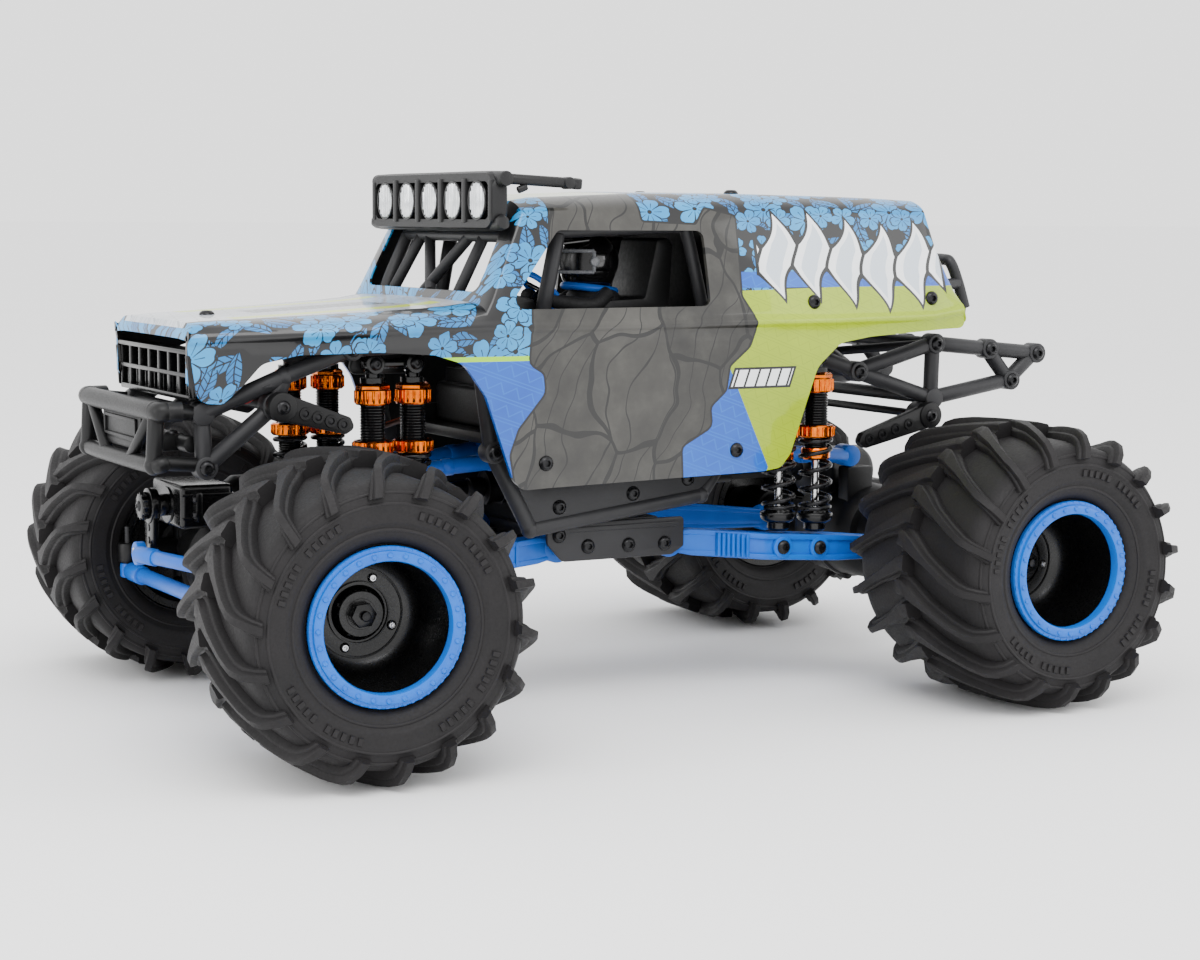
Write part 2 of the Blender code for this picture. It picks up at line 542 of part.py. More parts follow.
#            x      z low  half low  z belt  half belt  z top  half top  z crown
STATIONS = [
    (-96.0, 94.4, 40.0, 97.0, 40.0, 99.0, 36.0, 99.6),
    (-95.2, 94.4, 40.4, 99.0, 40.4, 102.5, 37.0, 103.2),
    (-88.0, 94.0, 40.6, 98.0, 41.0, 117.0, 36.6, 118.4),
    (-85.0, 93.8, 40.8, 97.6, 41.4, 126.4, 35.6, 128.4),
    (-72.0, 93.0, 41.0, 97.3, 41.8, 126.8, 35.8, 129.0),
    (-64.0, 92.4, 41.2, 97.2, 42.1, 127.0, 36.0, 129.2),
    (-53.0, 90.6, 41.4, 97.0, 42.4, 127.2, 36.0, 129.4),
    (-46.0, 83.8, 41.8, 97.0, 42.8, 127.3, 36.0, 129.5),
    (-39.0, 61.6, 42.2, 97.0, 43.0, 127.4, 36.0, 129.6),
    (-34.0, 59.0, 42.4, 97.0, 43.2, 127.5, 36.0, 129.7),
    (0.0, 58.2, 42.6, 96.8, 43.4, 127.3, 36.2, 129.7),
    (30.0, 57.5, 42.4, 96.6, 43.4, 126.2, 36.8, 128.3),
    (35.0, 57.4, 42.2, 96.6, 43.3, 125.6, 37.0, 127.4),
    (38.5, 57.8, 42.0, 96.8, 43.2, 118.8, 38.6, 120.2),
    (46.6, 79.4, 41.8, 97.0, 42.8, 101.4, 41.6, 103.0),
    (53.2, 88.8, 41.6, 96.8, 42.2, 100.6, 40.2, 102.0),
    (60.0, 90.4, 41.4, 96.6, 41.8, 100.2, 39.0, 101.4),
    (74.0, 91.2, 40.8, 96.2, 40.9, 99.6, 36.4, 100.6),
    (92.5, 90.8, 38.0, 95.6, 37.6, 99.0, 32.2, 99.6),
    (100.3, 88.8, 34.6, 95.2, 34.2, 98.8, 29.6, 99.2),
    (107.9, 79.8, 30.6, 94.9, 30.8, 98.7, 27.4, 98.9),
    (112.6, 79.9, 28.8, 94.6, 29.0, 98.5, 26.4, 98.6),
    (114.6, 90.6, 27.8, 94.4, 28.2, 98.3, 26.0, 98.4),
    (116.0, 92.3, 27.0, 94.2, 27.4, 95.6, 25.8, 95.8),
]


def shell_grid(inset):
    rows = []
    for x, zl, yl, zb, yb, zt, yt, zc in STATIONS:
        half = [(yl, zl), (yl * 0.25 + yb * 0.75, zl * 0.45 + zb * 0.55), (yb, zb),
                (yb * 0.5 + yt * 0.5 + 0.3, zb * 0.5 + zt * 0.5), (yt, zt), (yt - min(6.0, yt * 0.3), zt * 0.25 + zc * 0.75), (0.0, zc)]
        ring = half + [(-y, z) for y, z in half[-2::-1]]
        rows.append([np.array((x, y, z)) for y, z in ring])
    grid = np.array(rows)
    if inset:
        du = np.gradient(grid, axis=0)
        dv = np.gradient(grid, axis=1)
        n = np.cross(dv, du)
        n /= np.linalg.norm(n, axis=2, keepdims=True)
        mid = np.array((0, 0, 80.0))
        flip = np.sign(np.sum(n * (grid - mid), axis=2, keepdims=True))
        n = n * np.where(flip == 0, 1, flip)
        grid = grid - n * inset
        grid[:, 0, 2] = np.array(rows)[:, 0, 2]
        grid[:, -1, 2] = np.array(rows)[:, -1, 2]
    return grid


outer, inner = shell_grid(0.0), shell_grid(T)
rows_n, cols_n = outer.shape[:2]
shell_pts = list(outer.reshape(-1, 3)) + list(inner.reshape(-1, 3))
shell_faces = []
base = rows_n * cols_n
for i in range(rows_n - 1):
    for j in range(cols_n - 1):
        q = i * cols_n + j
        shell_faces.append([q, q + 1, q + cols_n + 1, q + cols_n])
        shell_faces.append([base + q, base + q + cols_n, base + q + cols_n + 1, base + q + 1])
edge = [(i, 0) for i in range(rows_n)] + [(rows_n - 1, j) for j in range(1, cols_n)]
edge += [(i, cols_n - 1) for i in range(rows_n - 2, -1, -1)] + [(0, j) for j in range(cols_n - 2, 0, -1)]
for (i, j), (k, m) in zip(edge, edge[1:] + edge[:1]):
    a, b = i * cols_n + j, k * cols_n + m
    shell_faces.append([a, b, base + b, base + a])
window = [(26.2, 119.3), (40.2, 101.4), (-15.2, 101.6), (-14.4, 119.2)]
fuse("body_shell", [(shell_pts, shell_faces)], SHELL, cuts=[
    prism_xz(window, -60, 60),
    prism_xz([(52.0, 104.9), (42.6, 104.9), (34.6, 121.8), (52.0, 121.8)], -33.5, 33.5),
    prism_xz([(-75.0, 102.4), (-110.0, 102.4), (-110.0, 122.0), (-75.0, 122.0)], -27.0, 27.0),
], angle=30)

# ---- grille insert ----
fuse("grille", [
    block((109.4, -25.8, 80.2), (112.8, 25.8, 89.7)),
    block((112.0, -26.0, 80.4), (114.2, 26.0, 82.2)),
    block((112.0, -26.0, 85.2), (114.0, 26.0, 87.0)),
], BLACK)

# ---- light bar on the roof ----
fuse("light_bar", [
    block((38.3, -36.8, 121.8), (42.8, 36.8, 132.0)),
    rod((41.0, -37.4, 120.8), (41.0, 37.4, 120.8), 1.6, 8, turn=0.2),
    rod((40.0, -37.4, 132.6), (40.0, 37.4, 132.6), 1.6, 8, turn=0.2),
    rod((39.8, 37.9, 132.2), (20.5, 38.9, 131.2), 1.3, 6),
    rod((39.8, -37.9, 132.2), (20.5, -38.9, 131.2), 1.3, 6),
    rod((39.8, 36.6, 132.2), (39.8, 39.2, 132.2), 1.9, 8),
    rod((39.8, -39.2, 132.2), (39.8, -36.6, 132.2), 1.9, 8),
], LAMP)

# ---- inner roll cage and rear hoop ----
hoop = []
for sy in (1, -1):
    for k, (a, b) in enumerate((
        ((41.9, 29.6, 104.6), (34.6, 30.8, 119.2)), ((35.2, 30.8, 118.3), (-14.6, 31.0, 121.2)),
        ((-14.0, 31.0, 121.9), (-20.1, 31.0, 96.9)), ((41.5, 29.6, 105.4), (41.9, 29.0, 97.6)),
        ((-20.6, 31.0, 98.0), (42.6, 29.0, 98.8)), ((-19.2, 31.0, 98.2), (-112.9, 14.4, 105.6)),
        ((-115.0, 14.2, 98.6), (-110.4, 14.0, 112.4)), ((26.2, 30.4, 98.1), (21.6, 30.9, 119.3)),
    )):
        hoop += sided([rod(a, b, 1.6 + 0.01 * k, 4, turn=0.31 * k)], sy)
hoop += [
    rod((-110.7, -14.9, 111.5), (-110.7, 14.9, 111.5), 1.45, 6, turn=0.15),
    rod((34.9, -31.6, 118.4), (34.9, 31.6, 118.4), 1.42, 6, turn=0.22),
    rod((41.8, -29.8, 98.5), (41.8, 29.8, 98.5), 1.38, 6, turn=0.18),
    block((-18.0, -31.3, 96.9), (20.0, 31.3, 97.9)),
]
fuse("inner_cage", hoop, GREY, angle=40)

# ---- driver ----
fuse("driver", [
    ball((3.0, 12.0, 112.0), 7.6, 10, 6),
    rod((3.0, 12.0, 107.5), (3.0, 12.0, 102.0), 3.4, 8),
    block((-8.0, 2.5, 98.2), (9.0, 21.5, 104.0)),
], SUIT)
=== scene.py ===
"""Looks of a small solid-axle monster truck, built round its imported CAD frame."""
import json
import math
import random

import bmesh
import bpy
import numpy as np
from mathutils import Matrix, Vector
from mathutils.bvhtree import BVHTree
from mathutils.geometry import tessellate_polygon

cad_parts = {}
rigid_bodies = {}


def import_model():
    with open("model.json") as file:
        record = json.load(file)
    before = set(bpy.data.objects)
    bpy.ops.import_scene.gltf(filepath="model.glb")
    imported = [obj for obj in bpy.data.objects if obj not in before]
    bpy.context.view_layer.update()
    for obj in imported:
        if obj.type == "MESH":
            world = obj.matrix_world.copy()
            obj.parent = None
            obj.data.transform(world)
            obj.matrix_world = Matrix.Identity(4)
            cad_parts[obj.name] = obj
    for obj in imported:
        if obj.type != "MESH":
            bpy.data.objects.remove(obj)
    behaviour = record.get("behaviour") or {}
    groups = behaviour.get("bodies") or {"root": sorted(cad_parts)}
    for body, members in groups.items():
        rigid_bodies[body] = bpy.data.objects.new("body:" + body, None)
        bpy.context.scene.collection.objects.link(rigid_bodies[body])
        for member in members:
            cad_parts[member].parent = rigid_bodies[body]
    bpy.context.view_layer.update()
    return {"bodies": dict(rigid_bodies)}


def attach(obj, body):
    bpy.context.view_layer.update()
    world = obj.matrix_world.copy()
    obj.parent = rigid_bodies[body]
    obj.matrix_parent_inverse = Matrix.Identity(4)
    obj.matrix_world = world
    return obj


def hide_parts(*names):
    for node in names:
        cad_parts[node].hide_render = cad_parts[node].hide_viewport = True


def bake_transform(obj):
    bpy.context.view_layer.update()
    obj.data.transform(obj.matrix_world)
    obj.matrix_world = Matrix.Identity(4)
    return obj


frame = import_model()
BODIES = set(frame["bodies"])

# ---- sizes, mm, as in the CAD. SX is the CAD's shift of the outline along X ----
SX = 0.9
R, W = 36.0, 51.0
BASE, TRACK, KPY = 90.5, 69.5, 51.4
SCRUB = TRACK - KPY
STEER = math.radians(-5.2)
LUGS = 15


def V(p):
    """A point in mm in the truck's own frame, as metres in the row frame."""
    return Vector(((p[0] + SX) * 0.001, p[1] * 0.001, p[2] * 0.001))


# ================= materials =================
MATS = {}


def srgb(r, g, b):
    def lin(c):
        c /= 255.0
        return c / 12.92 if c <= 0.04045 else ((c + 0.055) / 1.055) ** 2.4
    return (lin(r), lin(g), lin(b), 1.0)


def nodes_of(name):
    m = bpy.data.materials.new(name)
    m.use_nodes = True
    nt = m.node_tree
    return m, nt, nt.nodes["Principled BSDF"]


def add(nt, kind, **inputs):
    n = nt.nodes.new(kind)
    for k, v in inputs.items():
        n.inputs[k.replace("_", " ")].default_value = v
    return n


def coords(nt):
    return nt.nodes.new("ShaderNodeTexCoord").outputs["Object"]


def noise(nt, scale, detail=3.0, rough=0.55, vec=None):
    n = nt.nodes.new("ShaderNodeTexNoise")
    n.inputs["Scale"].default_value = scale
    n.inputs["Detail"].default_value = detail
    n.inputs["Roughness"].default_value = rough
    nt.links.new(vec if vec is not None else coords(nt), n.inputs["Vector"])
    return n


def ramp(nt, fac, stops, mode="LINEAR"):
    r = nt.nodes.new("ShaderNodeValToRGB")
    r.color_ramp.interpolation = mode
    el = r.color_ramp.elements
    while len(el) < len(stops):
        el.new(0.5)
    for e, (p, c) in zip(el, stops):
        e.position = p
        e.color = c if len(c) == 4 else (*c, 1)
    nt.links.new(fac, r.inputs["Fac"])
    return r


def mixc(nt, fac, a, b, blend="MIX"):
    n = nt.nodes.new("ShaderNodeMix")
    n.data_type = "RGBA"
    n.blend_type = blend
    for sock, v in ((n.inputs["Factor"], fac), (n.inputs["A"], a), (n.inputs["B"], b)):
        if isinstance(v, (tuple, float, int)):
            sock.default_value = v
        else:
            nt.links.new(v, sock)
    return n.outputs["Result"]


def math_node(nt, op, a, b=0.0, clamp=False):
    n = nt.nodes.new("ShaderNodeMath")
    n.operation = op
    n.use_clamp = clamp
    for sock, v in zip(n.inputs, (a, b)):
        if isinstance(v, (float, int)):
            sock.default_value = v
        else:
            nt.links.new(v, sock)
    return n.outputs[0]


def bump(nt, bsdf, height, strength=0.3, dist=0.0002, normal=None):
    b = nt.nodes.new("ShaderNodeBump")
    b.inputs["Strength"].default_value = strength
    b.inputs["Distance"].default_value = dist
    nt.links.new(height, b.inputs["Height"])
    if normal is not None:
        nt.links.new(normal, b.inputs["Normal"])
    nt.links.new(b.outputs["Normal"], bsdf.inputs["Normal"])
    return b.outputs["Normal"]


def plastic(name, dark, light, rough=(0.4, 0.55), grain=2600.0, bump_s=0.25, spec=0.5, coat=0.0, coat_rough=0.1, sheen=0.0, blotch=70.0, dist=0.00006):
    """Moulded plastic or rubber: slow colour drift, fine moulded grain and a roughness that varies with it."""
    m, nt, b = nodes_of(name)
    vec = coords(nt)
    slow = noise(nt, blotch, 4.0, 0.6, vec)
    fine = noise(nt, grain, 2.0, 0.6, vec)
    col = ramp(nt, slow.outputs["Fac"], [(0.3, dark), (0.7, light)])
    nt.links.new(col.outputs["Color"], b.inputs["Base Color"])
    rr = ramp(nt, fine.outputs["Fac"], [(0.3, (rough[0],) * 3), (0.7, (rough[1],) * 3)])
    nt.links.new(rr.outputs["Color"], b.inputs["Roughness"])
    b.inputs["Specular IOR Level"].default_value = spec
    b.inputs["Coat Weight"].default_value = coat
    b.inputs["Coat Roughness"].default_value = coat_rough
    b.inputs["Sheen Weight"].default_value = sheen
    bump(nt, b, fine.outputs["Fac"], bump_s, dist)
    MATS[name] = m
    return m


def metal(name, dark, light, rough=(0.18, 0.32), scale=600.0, aniso=(1, 1, 1), bump_s=0.1, metallic=1.0):
    """Anodised or plated metal with fine turned marks."""
    m, nt, b = nodes_of(name)
    mp = nt.nodes.new("ShaderNodeMapping")
    mp.inputs["Scale"].default_value = aniso
    nt.links.new(coords(nt), mp.inputs["Vector"])
    n = noise(nt, scale, 3.0, 0.6, mp.outputs["Vector"])
    col = ramp(nt, n.outputs["Fac"], [(0.3, dark), (0.7, light)])
    nt.links.new(col.outputs["Color"], b.inputs["Base Color"])
    rr = ramp(nt, n.outputs["Fac"], [(0.3, (rough[0],) * 3), (0.7, (rough[1],) * 3)])
    nt.links.new(rr.outputs["Color"], b.inputs["Roughness"])
    b.inputs["Metallic"].default_value = metallic
    bump(nt, b, n.outputs["Fac"], bump_s, 0.00003)
    MATS[name] = m
    return m


plastic("rubber", srgb(19, 18, 19), srgb(27, 25, 26), (0.55, 0.72), 1700, 0.3, 0.25, sheen=0.0, blotch=40, dist=0.00008)
plastic("rubber_side", srgb(20, 19, 20), srgb(29, 27, 28), (0.5, 0.66), 1500, 0.2, 0.25, sheen=0.0, blotch=30, dist=0.00006)
plastic("nylon_black", srgb(6, 6, 7), srgb(11, 11, 12), (0.36, 0.5), 2600, 0.3, 0.28)
plastic("nylon_gloss", srgb(5, 5, 6), srgb(9, 9, 10), (0.16, 0.28), 2200, 0.12, 0.35)
plastic("nylon_grey", srgb(31, 31, 33), srgb(41, 41, 43), (0.4, 0.54), 2800, 0.3, 0.3)
plastic("nylon_mid", srgb(17, 17, 18), srgb(25, 25, 26), (0.38, 0.52), 2800, 0.3, 0.3)
plastic("blue_nylon", srgb(0, 82, 178), srgb(0, 94, 192), (0.3, 0.42), 2400, 0.18, 0.3, blotch=90)
plastic("blue_ring", srgb(0, 86, 184), srgb(0, 100, 198), (0.26, 0.38), 2000, 0.15, 0.3, blotch=120)
plastic("rim_black", srgb(4, 4, 4), srgb(8, 8, 8), (0.24, 0.36), 2200, 0.15, 0.4)
metal("amber", srgb(190, 78, 2), srgb(236, 122, 6), (0.1, 0.24), 700)
metal("steel", srgb(170, 170, 172), srgb(215, 215, 216), (0.14, 0.28), 900)
metal("steel_dark", srgb(18, 18, 20), srgb(34, 34, 36), (0.24, 0.36), 900, metallic=0.6)
metal("spring_steel", srgb(18, 18, 20), srgb(40, 40, 42), (0.2, 0.34), 900, metallic=0.75)
plastic("wire_red", srgb(170, 10, 10), srgb(196, 20, 16), (0.35, 0.5), 2000, 0.15)
plastic("wire_orange", srgb(150, 52, 6), srgb(176, 70, 12), (0.35, 0.5), 2000, 0.15)
plastic("wire_brown", srgb(44, 18, 8), srgb(60, 26, 12), (0.35, 0.5), 2000, 0.15)
plastic("helmet", srgb(7, 7, 8), srgb(12, 12, 13), (0.12, 0.22), 1200, 0.08, 0.6, coat=0.6)
plastic("suit", srgb(12, 12, 13), srgb(20, 20, 22), (0.6, 0.8), 1800, 0.4, 0.4)
plastic("visor_grey", srgb(96, 98, 102), srgb(124, 126, 130), (0.2, 0.35), 1200, 0.1, 0.6)
plastic("liner_black", srgb(9, 9, 10), srgb(16, 16, 17), (0.45, 0.6), 900, 0.3, 0.4)


# ================= mesh building =================
class Geo:
    """Points in mm and faces with a material number, gathered into one mesh."""

    def __init__(self):
        self.v, self.f, self.m, self.smooth = [], [], [], []

    def put(self, pts, faces, mat=0, smooth=True):
        base = len(self.v)
        self.v.extend([tuple(map(float, p)) for p in pts])
        for f in faces:
            self.f.append([base + i for i in f])
            self.m.append(mat)
            self.smooth.append(smooth)
        return self

    def mirrored(self):
        g = Geo()
        g.v = [(x, -y, z) for x, y, z in self.v]
        g.f = [f[::-1] for f in self.f]
        g.m, g.smooth = list(self.m), list(self.smooth)
        return g

    def merge(self, other, matrix=None):
        pts = other.v if matrix is None else [tuple(matrix @ Vector(p)) for p in other.v]
        base = len(self.v)
        self.v.extend(pts)
        self.f.extend([[base + i for i in f] for f in other.f])
        self.m.extend(other.m)
        self.smooth.extend(other.smooth)
        return self


def basis(axis):
    a = np.array(axis, float)
    a /= np.linalg.norm(a)
    side = np.array([0.0, 0, 1]) if abs(a[2]) < 0.9 else np.array([1.0, 0, 0])
    u = np.cross(side, a)
    u /= np.linalg.norm(u)
    return a, u, np.cross(a, u)


def lathe(g, centre, axis, profile, n=48, mat=0, closed=False, phase=0.0):
    """Revolves (along, radius) pairs. Points with radius 0 close the ends."""
    c = np.array(centre, float)
    a, u, v = basis(axis)
    rings, pts, faces = [], [], []
    for s, r in profile:
        if r <= 1e-6:
            rings.append([len(pts)])
            pts.append(c + a * s)
            continue
        rings.append(list(range(len(pts), len(pts) + n)))
        for k in range(n):
            t = phase + 2 * math.pi * k / n
            pts.append(c + a * s + r * (math.cos(t) * u + math.sin(t) * v))
    pairs = list(zip(rings, rings[1:])) + ([(rings[-1], rings[0])] if closed else [])
    for p, q in pairs:
        for k in range(n):
            k2 = (k + 1) % n
            if len(p) == 1 and len(q) == 1:
                continue
            if len(p) == 1:
                faces.append([p[0], q[k2], q[k]])
            elif len(q) == 1:
                faces.append([p[k], p[k2], q[0]])
            else:
                faces.append([p[k], p[k2], q[k2], q[k]])
    g.put(pts, faces, mat)
    return g


def cyl(g, p0, p1, r, n=24, mat=0, r2=None, cham=None, phase=0.0):
    """A rod with small rounded ends."""
    p0, p1 = np.array(p0, float), np.array(p1, float)
    length = float(np.linalg.norm(p1 - p0))
    r2 = r if r2 is None else r2
    c = min(0.35 if cham is None else cham, r * 0.45, r2 * 0.45, length * 0.3)
    if c < 1e-3:
        prof = [(0, 0), (0, r), (length, r2), (length, 0)]
    else:
        prof = [(0, 0), (0, r - c), (c * 0.3, r - c * 0.3), (c, r), (length - c, r2), (length - c * 0.3, r2 - c * 0.3), (length, r2 - c), (length, 0)]
    return lathe(g, p0, p1 - p0, prof, n, mat, phase=phase)


def smooth_path(points, per=8, closed=False):
    """Catmull-Rom through the points."""
    p = [np.array(q, float) for q in points]
    if len(p) < 3:
        return p
    out = []
    m = len(p)
    last = m if closed else m - 1
    for i in range(last):
        a = p[(i - 1) % m] if closed or i > 0 else 2 * p[0] - p[1]
        b, c = p[i], p[(i + 1) % m]
        d = p[(i + 2) % m] if closed or i + 2 < m else 2 * p[-1] - p[-2]
        for k in range(per):
            t = k / per
            out.append(0.5 * (2 * b + (c - a) * t + (2 * a - 5 * b + 4 * c - d) * t * t + (3 * b - a - 3 * c + d) * t ** 3))
    if not closed:
        out.append(p[-1])
    return out


def tube(g, points, r, n=14, mat=0, closed=False, caps=True, radii=None):
    """A round tube along a line of points, with frames carried along it."""
    p = [np.array(q, float) for q in points]
    m = len(p)
    tang = []
    for i in range(m):
        if closed:
            t = p[(i + 1) % m] - p[(i - 1) % m]
        else:
            t = p[min(i + 1, m - 1)] - p[max(i - 1, 0)]
        tang.append(t / max(np.linalg.norm(t), 1e-9))
    _, u, v = basis(tang[0])
    pts, faces = [], []
    for i in range(m):
        if i:
            u = u - tang[i] * np.dot(u, tang[i])
            u /= np.linalg.norm(u)
            v = np.cross(tang[i], u)
        rr = radii[i] if radii is not None else r
        for k in range(n):
            t = 2 * math.pi * k / n
            pts.append(p[i] + rr * (math.cos(t) * u + math.sin(t) * v))
    for i in range(m if closed else m - 1):
        j = (i + 1) % m
        for k in range(n):
            faces.append([i * n + k, i * n + (k + 1) % n, j * n + (k + 1) % n, j * n + k])
    if caps and not closed:
        for i, flip in ((0, True), (m - 1, False)):
            c = len(pts)
            pts.append(p[i] + tang[i] * (r * 0.18 if not flip else -r * 0.18))
            for k in range(n):
                f = [i * n + k, i * n + (k + 1) % n, c]
                faces.append(f[::-1] if flip else f)
    g.put(pts, faces, mat)
    return g


def ball(g, p, r, n=16, rows=8, mat=0, squash=(1, 1, 1)):
    prof = [(-r * math.cos(math.pi * i / rows), r * math.sin(math.pi * i / rows) if 0 < i < rows else 0.0) for i in range(rows + 1)]
    base = len(g.v)
    lathe(g, (0, 0, 0), (0, 0, 1), prof, n, mat)
    for i in range(base, len(g.v)):
        x, y, z = g.v[i]
        g.v[i] = (x * squash[0] + p[0], y * squash[1] + p[1], z * squash[2] + p[2])
    return g


def slab(g, outline, place, thick, mat=0, bevel=0.3, segs=2):
    """A flat outline pushed to a thickness with rounded edges. place(u, v, w) gives the point; w runs 0..thick."""
    n = len(outline)
    area = sum(a[0] * b[1] - b[0] * a[1] for a, b in zip(outline, outline[1:] + outline[:1]))
    pts2 = [np.array(p, float) for p in (outline if area > 0 else outline[::-1])]
    inward = []
    for i in range(n):
        a, b, c = pts2[i - 1], pts2[i], pts2[(i + 1) % n]
        e0, e1 = b - a, c - b
        e0 /= max(np.linalg.norm(e0), 1e-9)
        e1 /= max(np.linalg.norm(e1), 1e-9)
        n0, n1 = np.array((-e0[1], e0[0])), np.array((-e1[1], e1[0]))
        m = n0 + n1
        d = max(np.dot(m, n0), 0.35)
        inward.append(m / d)
    bevel = min(bevel, thick * 0.45)
    levels = []
    for k in range(segs + 1):
        t = math.pi / 2 * k / segs
        levels.append((bevel * (1 - math.cos(t)) if False else bevel * (1 - math.sin(t)), bevel * (1 - math.cos(t))))
    rows = [(w, ins) for ins, w in [(bevel * (1 - math.sin(math.pi / 2 * k / segs)), bevel * (1 - math.cos(math.pi / 2 * k / segs))) for k in range(segs + 1)]]
    rows += [(thick - w, ins) for w, ins in reversed(rows)]
    pts, faces = [], []
    for w, ins in rows:
        for p, q in zip(pts2, inward):
            s = p + q * ins
            pts.append(place(s[0], s[1], w))
    for i in range(len(rows) - 1):
        for k in range(n):
            k2 = (k + 1) % n
            faces.append([i * n + k, i * n + k2, (i + 1) * n + k2, (i + 1) * n + k])
    tris = tessellate_polygon([[Vector((p[0], p[1], 0)) for p in pts2]])
    top = (len(rows) - 1) * n
    for t in tris:
        a, b, c = t
        cr = (pts2[b] - pts2[a])[0] * (pts2[c] - pts2[a])[1] - (pts2[b] - pts2[a])[1] * (pts2[c] - pts2[a])[0]
        if cr < 0:
            a, b, c = c, b, a
        faces.append([top + a, top + b, top + c])
        faces.append([c, b, a])
    g.put(pts, faces, mat)
    return g


def round_poly(poly, r, segs=4):
    """An outline with its corners rounded. r is one radius, or one for each corner."""
    out = []
    n = len(poly)
    for i in range(n):
        a, b, c = (np.array(poly[j % n], float) for j in (i - 1, i, i + 1))
        rr = r[i] if isinstance(r, (list, tuple)) else r
        u, v = a - b, c - b
        lu, lv = np.linalg.norm(u), np.linalg.norm(v)
        u, v = u / lu, v / lv
        ang = math.acos(max(-1, min(1, float(np.dot(u, v)))))
        if rr < 1e-6 or ang > math.pi - 0.05:
            out.append(tuple(b))
            continue
        d = min(rr / math.tan(ang / 2), lu * 0.45, lv * 0.45)
        rr2 = d * math.tan(ang / 2)
        centre = b + (u + v) / np.linalg.norm(u + v) * (rr2 / math.sin(ang / 2))
        p0, p1 = b + u * d, b + v * d
        a0, a1 = math.atan2(*(p0 - centre)[::-1]), math.atan2(*(p1 - centre)[::-1])
        da = (a1 - a0 + math.pi) % (2 * math.pi) - math.pi
        for k in range(segs + 1):
            t = a0 + da * k / segs
            out.append((centre[0] + rr2 * math.cos(t), centre[1] + rr2 * math.sin(t)))
    return out


def rbox(g, lo, hi, r=0.6, mat=0, segs=2):
    """A box with rounded edges all round."""
    bm = bmesh.new()
    bmesh.ops.create_cube(bm, size=1.0)
    lo, hi = np.array(lo, float), np.array(hi, float)
    for v in bm.verts:
        v.co = Vector([(lo[i] + hi[i]) / 2 + v.co[i] * (hi[i] - lo[i]) for i in range(3)])
    r = min(r, float((hi - lo).min()) * 0.4)
    bmesh.ops.bevel(bm, geom=list(bm.edges), offset=r, segments=segs, profile=0.6, affect="EDGES")
    bm.verts.index_update()
    g.put([tuple(v.co) for v in bm.verts], [[v.index for v in f.verts] for f in bm.faces], mat)
    bm.free()
    return g


def button_screw(g, p, axis, r=1.9, h=1.05, mat=0, sock=0.62, torx=False):
    """Button-head screw with a hex socket, standing on p and facing along axis."""
    a, u, v = basis(axis)
    p = np.array(p, float)
    n = 36
    prof = [(-0.25, r * 0.98), (0.0, r), (h * 0.22, r * 0.985), (h * 0.5, r * 0.9), (h * 0.8, r * 0.72), (h * 0.96, r * 0.58)]
    pts, faces = [], []
    for s, rr in prof:
        for k in range(n):
            t = 2 * math.pi * k / n
            pts.append(p + a * s + rr * (math.cos(t) * u + math.sin(t) * v))
    def hexr(t, size):
        t = (t % (math.pi / 3)) - math.pi / 6
        return size / math.cos(t)
    size = r * sock * 0.62
    for s, k_size in ((h * 0.97, size), (h * 0.25, size), (h * 0.2, 0.0)):
        for k in range(n):
            t = 2 * math.pi * k / n
            rr = hexr(t, k_size) if k_size else 0.02
            pts.append(p + a * s + rr * (math.cos(t) * u + math.sin(t) * v))
    rows = len(prof) + 3
    for i in range(rows - 1):
        for k in range(n):
            faces.append([i * n + k, i * n + (k + 1) % n, (i + 1) * n + (k + 1) % n, (i + 1) * n + k])
    g.put(pts, faces, mat)
    return g


def hexnut(g, p, axis, r, h, mat=0, n=6):
    a, u, v = basis(axis)
    return cyl(g, p, np.array(p, float) + a * h, r, n, mat, cham=0.15)


def make(name, g, mats, body, replaces=(), angle=38, bevel=0.0, local=None):
    """One visible piece from gathered geometry. local is the 4x4 that carries it from its own frame."""
    mesh = bpy.data.meshes.new(name)
    if local is None:
        pts = [tuple(V(p)) for p in g.v]
    else:
        # the turn is baked into the points, so the object itself only sits at its place
        turned = local.to_3x3()
        pts = [tuple(turned @ Vector((0.001 * p[0], 0.001 * p[1], 0.001 * p[2]))) for p in g.v]
    mesh.from_pydata(pts, [], g.f)
    for m in mats:
        mesh.materials.append(MATS[m])
    mesh.polygons.foreach_set("material_index", g.m)
    mesh.polygons.foreach_set("use_smooth", [True] * len(mesh.polygons))
    mesh.validate()
    mesh.update()
    mesh.set_sharp_from_angle(angle=math.radians(angle))
    obj = bpy.data.objects.new(name, mesh)
    bpy.context.scene.collection.objects.link(obj)
    if local is not None:
        obj.matrix_world = Matrix.Translation(local.translation)
    if bevel:
        b = obj.modifiers.new("edge", "BEVEL")
        b.width = bevel * 0.001
        b.segments = 2
        b.limit_method = "ANGLE"
        b.angle_limit = math.radians(40)
        b.harden_normals = False
    if body:
        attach(obj, body)
    if replaces:
        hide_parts(*replaces)
    return obj


